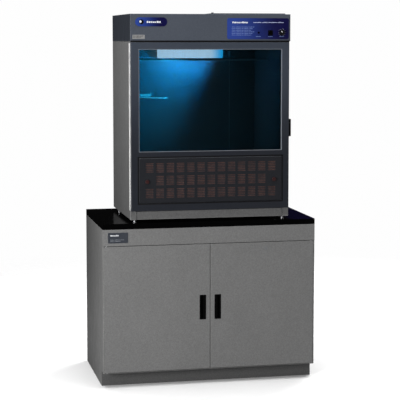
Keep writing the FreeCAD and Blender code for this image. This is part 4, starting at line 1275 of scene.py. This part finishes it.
@dataclass
class ChamberDoor:
    """Window door with its hinge, pull, inlet grille and pleated filter."""

    finishes: Finishes
    pleats: int = 150
    fibre: float = 0.0008
    pack_margin: float = 0.001
    shade_frame_width: float = 0.0070
    shade_frame_gap: float = 0.0012
    shade_frame_lift: float = 0.0006
    shade_frame_sink: float = 0.0004
    highlight_height: float = 0.0030
    pull_wall: float = 0.0022
    scoop: float = 0.009

    def dress(self) -> None:
        """Gives the carried-over parts their finishes."""
        kit = self.finishes
        dress(kit["door_slate"], "chamber_door_frame")
        dress(kit["grille_slate"], "grille_panel")
        dress(kit["smoked_glass"], "window_pane")
        dress(kit["trim_grey"], "window_trim")
        dress(kit["satin_zinc"], "hinge_frame_leaf", "hinge_door_leaf")
        dress(kit["knob_red"], "grille_knob_left", "grille_knob_right")

    def build(self) -> None:
        """Adds the pleated filter, a black frame of painted shade in the gap round the inlet panel, a
        painted highlight along its top, and the moulded pull.
        """
        self.filter_pack()
        self.gap_shade_frame()
        self.lip()
        self.pull()

    def filter_pack(self) -> None:
        """The pleated filter, in place of the plain pad."""
        low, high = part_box("filter_media")
        wide = high.x - low.x - self.pack_margin * 2
        Bench.clear()
        bpy.ops.mesh.primitive_grid_add(x_subdivisions=self.pleats * 2, y_subdivisions=2, size=1.0,
                                        location=(low + high) / 2, rotation=Axis.Y.turn())
        bpy.context.object.scale = (wide, high.z - low.z, 1.0)
        pack = Bench.named("pleated_filter")
        step = wide / (self.pleats * 2)
        mesh = Bench.open_up(pack, "VERT")
        for vertex in mesh.verts:
            vertex.select_set(round((vertex.co.x - low.x - self.pack_margin) / step) % 2 == 0)
        mesh.select_flush_mode()
        bmesh.update_edit_mesh(pack.data)
        bpy.ops.transform.translate(value=(0.0, -((high.y - low.y) / 2 - self.fibre), 0.0))
        Bench.clear()
        Bench.apply(pack, "SOLIDIFY", thickness=self.fibre, offset=0.0)
        Bench.finish(pack, self.finishes["filter_felt"], "inlet_panel", Slot.MEDIA_RED, 20.0)
        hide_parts("filter_media")

    def gap_shade_frame(self) -> None:
        """A black frame round the inlet's opening: painted shade of the gap round the inlet panel."""
        low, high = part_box("grille_panel")
        top, root = low.y - self.shade_frame_lift, low.y + self.shade_frame_sink
        gap, wide = self.shade_frame_gap, self.shade_frame_width
        # painted shade: black bars fill the gap round the inlet panel
        bars = []
        for edge, foot in ((low.x - gap - wide, low.z - gap - wide), (high.x + gap, high.z + gap)):
            bars.append(Bench.block("bar", (edge, top, low.z - gap - wide),
                                    (edge + wide, root, high.z + gap + wide)))
            bars.append(Bench.block("bar", (low.x - gap, top, foot), (high.x + gap, root, foot + wide)))
        for bar in bars:
            Bench.round_edges(bar, lambda m, d: m.y < top + 0.0001 and abs(d.y) < 0.1, width=0.0005,
                              steps=2)
        Bench.finish(Bench.join("inlet_gasket", bars), self.finishes["seal_rubber"], "chamber_door",
                     Slot.BLACK_PLASTIC)

    def lip(self) -> None:
        """A painted highlight along the inlet panel's top: a light grey strip."""
        low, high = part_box("grille_panel")
        top = high.z - 0.0006
        # painted highlight: a light grey strip along the panel's top edge
        lip = Bench.block("inlet_lip", (low.x + 0.002, low.y, top - self.highlight_height),
                          (high.x - 0.002, low.y + 0.0006, top))
        Bench.round_edges(lip, lambda m, d: abs(d.x) > 0.9 and m.y < low.y + 0.0001, width=0.0005,
                          steps=2)
        Bench.finish(lip, self.finishes["lip_grey"], "inlet_panel", Slot.SLATE_BLUE)

    def pull(self) -> None:
        """A moulded pull with a finger scoop behind it, in place of the plain bow."""
        low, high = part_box("chamber_pull")
        mid = (low + high) / 2
        body = Bench.block("door_pull", low, high)
        Bench.round_edges(body, lambda m, d: abs(d.y) > 0.9 and m.x > high.x - 0.001, width=0.004,
                          steps=4)
        Bench.inset(body, lambda m, n: n.y > 0.9, rim=self.pull_wall)
        Bench.push(body, lambda m, n: n.y > 0.9 and abs(m.z - mid.z) < 0.005 and
                   abs(m.x - mid.x) < 0.0015, (0.0, -self.scoop, 0.0))
        Bench.round_edges(body, lambda m, d: m.y < low.y + 0.0005, width=0.0010, steps=2)
        Bench.finish(body, self.finishes["black_plastic"], "chamber_door", Slot.BLACK_PLASTIC)
        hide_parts("chamber_pull")


@dataclass
class Head:
    """Control head: slate shell, blower, exhaust filter, badge, rating plate and controls."""

    finishes: Finishes
    skirt: float = 0.003
    grip_radius: float = 0.0122
    flutes: int = 48
    flute_depth: float = 0.0006
    pointer_half: float = 0.0016
    pointer_turn: float = -45.0
    ticks: int = 11
    tick_first: float = -150.0
    tick_apart: float = 30.0
    tick_in: float = 0.0185
    tick_out: float = 0.0215
    tick_half: float = 0.0004
    pilot_radius: float = 0.0052
    pilot_height: float = 0.0044
    emblem_in: float = 0.034
    emblem_radius: float = 0.0130
    spot_radius: float = 0.0062
    screw_inset: float = 0.012

    def dress(self) -> None:
        """Gives the carried-over parts their finishes."""
        kit = self.finishes
        dress(kit["head_slate"], "head_shell", "head_lid", "filter_cover")
        dress(kit["bolt_chrome"], "cover_screw")
        dress(kit["lamp_metal"], "blower_housing", "blower_wheel", "filter_box")
        dress(kit["motor_black"], "blower_motor")
        dress(kit["filter_pack"], "exhaust_filter")
        dress(kit["panel_print"], "control_plate")
        dress(kit["black_plastic"], "rocker_bezel", "rocker_switch", "power_socket")
        dress(kit["badge_print"], "badge")

    def build(self) -> None:
        """Adds the dial, blank rows, pilot light, badge emblem, rating plate, dark strips of painted
        shade under the head, and screws.
        """
        self.dial()
        self.blank_rows()
        self.pilot_light()
        self.emblem()
        self.rating_plate()
        self.gap_shade_under_head()
        PanScrew().border(self.finishes, "head_back_screws", "head_shell", self.screw_inset)

    def dial(self) -> None:
        """A fluted dial with a white pointer, in place of the plain knob."""
        low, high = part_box("timer_knob")
        mid, tip, radius = (low + high) / 2, low.y, (high.x - low.x) / 2
        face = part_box("control_plate")[0].y
        back = face - self.skirt
        skirt = Bench.disc("dial_skirt", (mid.x, face - SINK - self.skirt / 2, mid.z), radius=radius,
                           depth=self.skirt, axis=Axis.Y, sides=64)
        Bench.round_edges(skirt, lambda m, d: m.y < back and (m - mid).xz.length > radius * 0.98,
                          width=0.001, steps=3)
        grip = Bench.disc("dial_grip", (mid.x, (back + tip) / 2, mid.z), radius=self.grip_radius,
                          depth=back - tip, axis=Axis.Y, sides=self.flutes)

        def second_flat(m: Vector, n: Vector) -> bool:
            """True for every second flat round the grip.

            Args:
                m: the face's middle.
                n: its normal.

            Returns:
                Whether the face is picked.
            """
            turn = math.atan2(m.z - mid.z, m.x - mid.x) / (2 * math.pi)
            return abs(n.y) < 0.1 and round(turn * self.flutes - 0.5) % 2 == 0

        Bench.inset(grip, second_flat, rim=0.00015, depth=-self.flute_depth, each=True)
        Bench.dish(grip, mid, rim=0.0015, wall=0.0006, depth=0.0012)
        dial = Bench.join("timer_dial", [skirt, grip])
        Bench.finish(dial, self.finishes["dial_black"], "timer", Slot.BLACK_PLASTIC)
        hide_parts("timer_knob")
        bar = Bench.block("timer_pointer", (mid.x - self.pointer_half, tip + 0.0001, mid.z + 0.001),
                          (mid.x + self.pointer_half, tip + 0.0014, mid.z + self.grip_radius - 0.0012))
        Bench.round_edges(bar, lambda m, d: abs(d.y) > 0.9, width=0.0012, steps=4)
        Bench.turn(bar, self.pointer_turn, mid, Axis.Y)
        Bench.finish(bar, self.finishes["white_print"], "timer", Slot.BLACK_PLASTIC)

    def blank_rows(self) -> None:
        """Blank blocks where a maker's words would stand, and the dial's ticks."""
        low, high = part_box("control_plate")
        face, line = low.y, high.z - 0.0235
        heading = blanks(low.x + 0.030, low.x + 0.128, line, face, height=0.0092, stride=0.0122,
                         words=(8,))
        second = blanks(low.x + 0.150, low.x + 0.325, line, face, height=0.0050, stride=0.0062,
                        words=(8, 6, 9))
        Bench.finish(Bench.join("panel_heading_b", second), self.finishes["soft_print"], "cabinet",
                     Slot.CONTROL_PANEL)
        notes = []
        for row in range(6):
            notes += blanks(low.x + 0.027, low.x + 0.158 - 0.010 * (row % 3),
                            low.z + 0.067 - 0.0088 * row, face, height=0.0036, stride=0.0046,
                            words=(5, 7, 3, 6))
        for x in (low.x + 0.179, low.x + 0.248, low.x + 0.314):
            notes += blanks(x - 0.014, x + 0.015, low.z + 0.0145, face, height=0.0034, stride=0.0042,
                            words=(7,))
        knob_low, knob_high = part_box("timer_knob")
        mid = (knob_low + knob_high) / 2
        for step in range(self.ticks):
            tick = Bench.block("tick", (mid.x - self.tick_half, face - INK_LIFT, mid.z + self.tick_in),
                               (mid.x + self.tick_half, face + INK_SINK, mid.z + self.tick_out))
            Bench.turn(tick, self.tick_first + self.tick_apart * step, mid, Axis.Y)
            heading.append(tick)
        Bench.finish(Bench.join("panel_headings", heading), self.finishes["white_print"], "cabinet",
                     Slot.CONTROL_PANEL)
        Bench.finish(Bench.join("panel_notes", notes), self.finishes["pale_print"], "cabinet",
                     Slot.CONTROL_PANEL)

    def pilot_light(self) -> None:
        """The small dark lamp beside the switch."""
        low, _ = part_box("control_plate")
        mid = Vector((low.x + 0.1795, low.y, low.z + 0.0359))
        high, wide = self.pilot_height, self.pilot_radius
        lamp = Bench.disc("pilot_light", (mid.x, mid.y - high / 2, mid.z), radius=wide, depth=high,
                          axis=Axis.Y, sides=32)
        Bench.dish(lamp, mid, rim=0.0012, wall=0.0004, depth=0.0010)
        Bench.round_edges(lamp, lambda m, d: m.y < mid.y - high + 0.0001 and
                          (m - mid).xz.length > wide - SINK, width=0.0006, steps=3)
        Bench.finish(lamp, self.finishes["black_plastic"], "cabinet", Slot.BLACK_PLASTIC)

    def emblem(self) -> None:
        """A plain disc and spot and a row of blank blocks on the badge, in place of any mark."""
        low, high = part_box("badge")
        face = low.y
        mid = Vector((low.x + self.emblem_in, face, (low.z + high.z) / 2))
        ring = Bench.disc("badge_disc", (mid.x, face - 0.0003, mid.z), radius=self.emblem_radius,
                          depth=0.0008, axis=Axis.Y)
        Bench.dish(ring, mid, rim=0.0012, wall=0.0003, depth=0.0003)
        Bench.finish(ring, self.finishes["dial_black"], "cabinet", Slot.BLUE_BADGE)
        spot = Bench.disc("badge_spot", (mid.x - 0.005, face - 0.0008, mid.z + 0.001),
                          radius=self.spot_radius, depth=0.0006, axis=Axis.Y, sides=32)
        Bench.inset(spot, front, rim=0.0008)
        marks = blanks(mid.x + 0.030, high.x - 0.034, mid.z - 0.0005, face, height=0.0100, stride=0.0125,
                       words=(7,))
        Bench.finish(Bench.join("badge_emblem", [spot] + marks), self.finishes["white_print"], "cabinet",
                     Slot.BLUE_BADGE)

    def rating_plate(self) -> None:
        """A small blank foil plate low on the head's face."""
        low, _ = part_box("head_shell")
        face = low.y
        plate = Bench.block("rating_plate", (low.x + 0.0134, face - 0.0006, low.z + 0.0128),
                            (low.x + 0.0814, face, low.z + 0.0352))
        Bench.round_edges(plate, lambda m, d: abs(d.y) > 0.9, width=0.0015, steps=3)
        Bench.inset(plate, front, rim=0.0012)
        Bench.finish(plate, self.finishes["rating_foil"], "cabinet", Slot.BLANK_PLATE)
        lines = []
        for row in range(3):
            lines += blanks(low.x + 0.018, low.x + 0.078 - 0.008 * row, low.z + 0.0296 - 0.0050 * row,
                            face - 0.0006, height=0.0024, stride=0.0034, words=(4, 6, 3))
        Bench.finish(Bench.join("rating_lines", lines), self.finishes["motor_black"], "cabinet",
                     Slot.BLANK_PLATE)

    def gap_shade_under_head(self) -> None:
        """Black strips in the gap under the head's front edge and along that edge, just above the door:
        painted shade of the gap.
        """
        low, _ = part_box("head_shell")
        door_low, door_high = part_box("chamber_door_frame")
        # painted shade: a black fin fills the gap between the door's top and the head
        fin = Bench.block("head_seal", (door_low.x, low.y + 0.0008, door_high.z + 0.0008),
                          (door_high.x, low.y + 0.016, low.z + SINK))
        Bench.round_edges(fin, lambda m, d: m.y < low.y + 0.001 and m.z < low.z - 0.002, width=0.0015,
                          steps=3)
        # painted shade: a black strip along the head's bottom front edge
        lip = Bench.block("lip", (door_low.x, low.y - 0.0008, low.z - 0.0004),
                          (door_high.x, low.y + SINK, low.z + 0.0040))
        Bench.round_edges(lip, lambda m, d: abs(d.x) > 0.9 and m.y < low.y - 0.0006, width=0.0005,
                          steps=2)
        Bench.finish(Bench.join("head_seal", [fin, lip]), self.finishes["seal_rubber"], "cabinet",
                     Slot.BLACK_PLASTIC)


# ---- Studio ----------------------------------------------------------------------------------
@dataclass(frozen=True)
class Panel:
    """A white area light: where it hangs, what it points at, its watts, its width in metres."""

    name: str
    place: Place
    aim: Place
    power: float
    width: float
    mirrored: bool = False


@dataclass
class Studio:
    """Pale floor, soft light, the lit lamp and the camera.

    The tube's light on the back wall ends at a line from edge_top to edge_foot.
    """

    eye: Place = (-1.65080, -7.72607, 1.94164)
    yaw: float = 0.21197
    pitch: float = 0.09185
    lens: float = 122.526
    shift: float = -0.0875
    shown: float = 0.99
    ambient: float = 0.11
    mirrored: float = 0.004
    panels: tuple[Panel, ...] = (
        Panel("key_panel", (-3.7, -3.3, 1.3), (-0.5, -0.2, 1.0), 200.0, 1.8, True),
        Panel("front_panel", (3.8, -5.0, 1.0), (0.0, -0.3, 1.0), 34.0, 2.0, True),
        Panel("top_panel", (0.0, -0.3, 5.5), (0.0, 0.0, 0.0), 400.0, 5.5),
        Panel("rear_panel", (3.6, 3.8, 2.4), (0.2, 0.2, 1.0), 230.0, 2.5),
    )
    edge_top: Place = (0.205, 0.268, 1.879)
    edge_foot: Place = (0.080, 0.268, 1.460)
    bulb_radius: float = 0.006
    tube_gap: float = 0.052
    tube_apart: float = 0.075
    tube_power: float = 15.0
    fill_place: Place = (-0.15, -0.10, 1.66)
    fill_power: float = 19.0
    fill_colour: Colour = (0.03, 0.62, 1.0)
    glint_place: Place = (-0.10, -0.26, 1.42)
    glint_aim: Place = (0.12, 0.27, 1.52)
    glint_power: float = 9.0
    glint_colour: Colour = (0.45, 0.75, 1.0)
    floor_radius: float = 7.0
    floor_tone: float = 0.22

    def camera(self) -> None:
        """The camera at the working angle."""
        data = bpy.data.cameras.new("studio_camera")
        data.lens, data.shift_y, data.sensor_width = self.lens, self.shift, 36.0
        eye = bpy.data.objects.new("studio_camera", data)
        eye.location = self.eye
        eye.rotation_euler = (math.pi / 2 - self.pitch, 0.0, -self.yaw)
        bpy.context.scene.collection.objects.link(eye)
        bpy.context.scene.camera = eye

    @staticmethod
    def hang(data: bpy.types.Light, place: Sequence[float], aim: Sequence[float], mirrored: bool) -> None:
        """Hangs a lamp at a place, pointing at another, and hides it from the camera.

        Args:
            data: the lamp's settings.
            place: where it hangs.
            aim: what it points at.
            mirrored: whether glossy surfaces show it.
        """
        lamp = bpy.data.objects.new(data.name, data)
        lamp.location = place
        lamp.rotation_euler = (Vector(aim) - Vector(place)).to_track_quat("-Z", "Y").to_euler()
        lamp.visible_camera = False
        lamp.visible_glossy = mirrored
        bpy.context.scene.collection.objects.link(lamp)

    def spot(self, name: str, place: Sequence[float], aim: Sequence[float], power: float, colour: Colour,
             radius: float, angle: float, blend: float) -> None:
        """A coloured spot lamp.

        Args:
            name: its name.
            place: where it hangs.
            aim: what it points at.
            power: watts.
            colour: its colour.
            radius: its bulb's radius.
            angle: its cone's opening in radians.
            blend: how softly the cone's edge fades, 0 to 1.
        """
        data = bpy.data.lights.new(name, "SPOT")
        data.energy, data.color, data.shadow_soft_size = power, colour, radius
        data.spot_size, data.spot_blend = angle, blend
        self.hang(data, place, aim, False)

    def lamps(self) -> None:
        """Key from the left, weaker panels in front, above and behind, and the chamber's lamps."""
        for panel in self.panels:
            data = bpy.data.lights.new(panel.name, "AREA")
            data.energy, data.size = panel.power, panel.width
            self.hang(data, panel.place, panel.aim, panel.mirrored)
        low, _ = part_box("lamp_lens")
        edge_top, edge_foot = Vector(self.edge_top), Vector(self.edge_foot)
        bulbs = [("tube_fill", Vector(self.fill_place), self.fill_power, self.fill_colour)]
        for step in range(4):
            bulb = Vector((low.x + 0.05 + self.tube_apart * step, low.y - self.tube_gap, low.z - 0.010))
            bulbs.insert(step, (f"tube_{step}", bulb, self.tube_power, (0.01, 0.42 - 0.02 * step, 1.0)))
        for name, bulb, power, colour in bulbs:
            side = (edge_foot - edge_top).cross(bulb - edge_top).normalized()
            if side.x > 0:
                side = -side
            self.spot(name, place=bulb, aim=bulb + side, power=power, colour=colour,
                      radius=self.bulb_radius, angle=math.pi, blend=0.45)
        self.spot("chamber_glint", place=self.glint_place, aim=self.glint_aim, power=self.glint_power,
                  colour=self.glint_colour, radius=0.05, angle=2.8, blend=1.0)

    def sky(self) -> None:
        """White surroundings that light softly and mirror darkly."""
        world = bpy.data.worlds.new("studio_world")
        bpy.context.scene.world = world
        world.use_nodes = True
        tree = world.node_tree
        tree.nodes.clear()
        output = tree.nodes.new("ShaderNodeOutputWorld")
        ray = tree.nodes.new("ShaderNodeLightPath")
        shown, soft, dark = (tree.nodes.new("ShaderNodeBackground") for _ in range(3))
        for node, tone in ((shown, self.shown), (soft, self.ambient), (dark, self.mirrored)):
            node.inputs[0].default_value = (tone, tone, tone, 1.0)
        first, second = (tree.nodes.new("ShaderNodeMixShader") for _ in range(2))
        for mix, kind, under, over in ((first, "Is Glossy Ray", soft, dark),
                                       (second, "Is Camera Ray", first, shown)):
            for socket, source in zip(mix.inputs, (ray.outputs[kind], under.outputs[0], over.outputs[0])):
                tree.links.new(source, socket)
        tree.links.new(second.outputs[0], output.inputs["Surface"])

    def floor(self) -> None:
        """A pale floor that fades into the surroundings."""
        Bench.clear()
        bpy.ops.mesh.primitive_circle_add(vertices=96, radius=self.floor_radius, fill_type="NGON",
                                          location=(0.0, 0.0, -0.0005))
        piece = Bench.named("studio_floor")
        sheet = Sheet("floor_paper")
        solid = sheet.add("BsdfDiffuse")
        paper = sheet.blend(sheet.vary(low=0.0, high=1.0, scale=3.0, detail=3.0), (0.95, 0.95, 0.95),
                            (0.98, 0.98, 0.98))
        seen = sheet.add("LightPath").outputs["Is Camera Ray"]
        sheet.feed(solid.inputs["Color"], sheet.blend(seen, (self.floor_tone,) * 3, paper))
        clear = sheet.add("BsdfTransparent")
        span = sheet.add("VectorMath", operation="LENGTH")
        sheet.feed(span.inputs[0], sheet.place)
        sheet.layer(sheet.spread(span.outputs["Value"], low=1.6, high=4.5, smooth=True), solid.outputs[0],
                    clear.outputs[0])
        piece.data.materials.append(sheet.material)

    def build(self) -> None:
        """Sets the whole studio."""
        self.camera()
        self.lamps()
        self.sky()
        self.floor()
        bpy.context.scene.view_settings.view_transform = "Standard"


def main() -> None:
    """Builds the looks in order."""
    logging.basicConfig(level=logging.INFO, format="%(name)s: %(message)s")
    Studio().build()
    finishes = Finishes()
    finishes.build()
    for part in (BaseCabinet(finishes), DryingCabinet(finishes), ChamberDoor(finishes), Head(finishes)):
        part.dress()
        part.build()
        LOG.info("built %s", type(part).__name__)


if __name__ == "__main__":
    main()
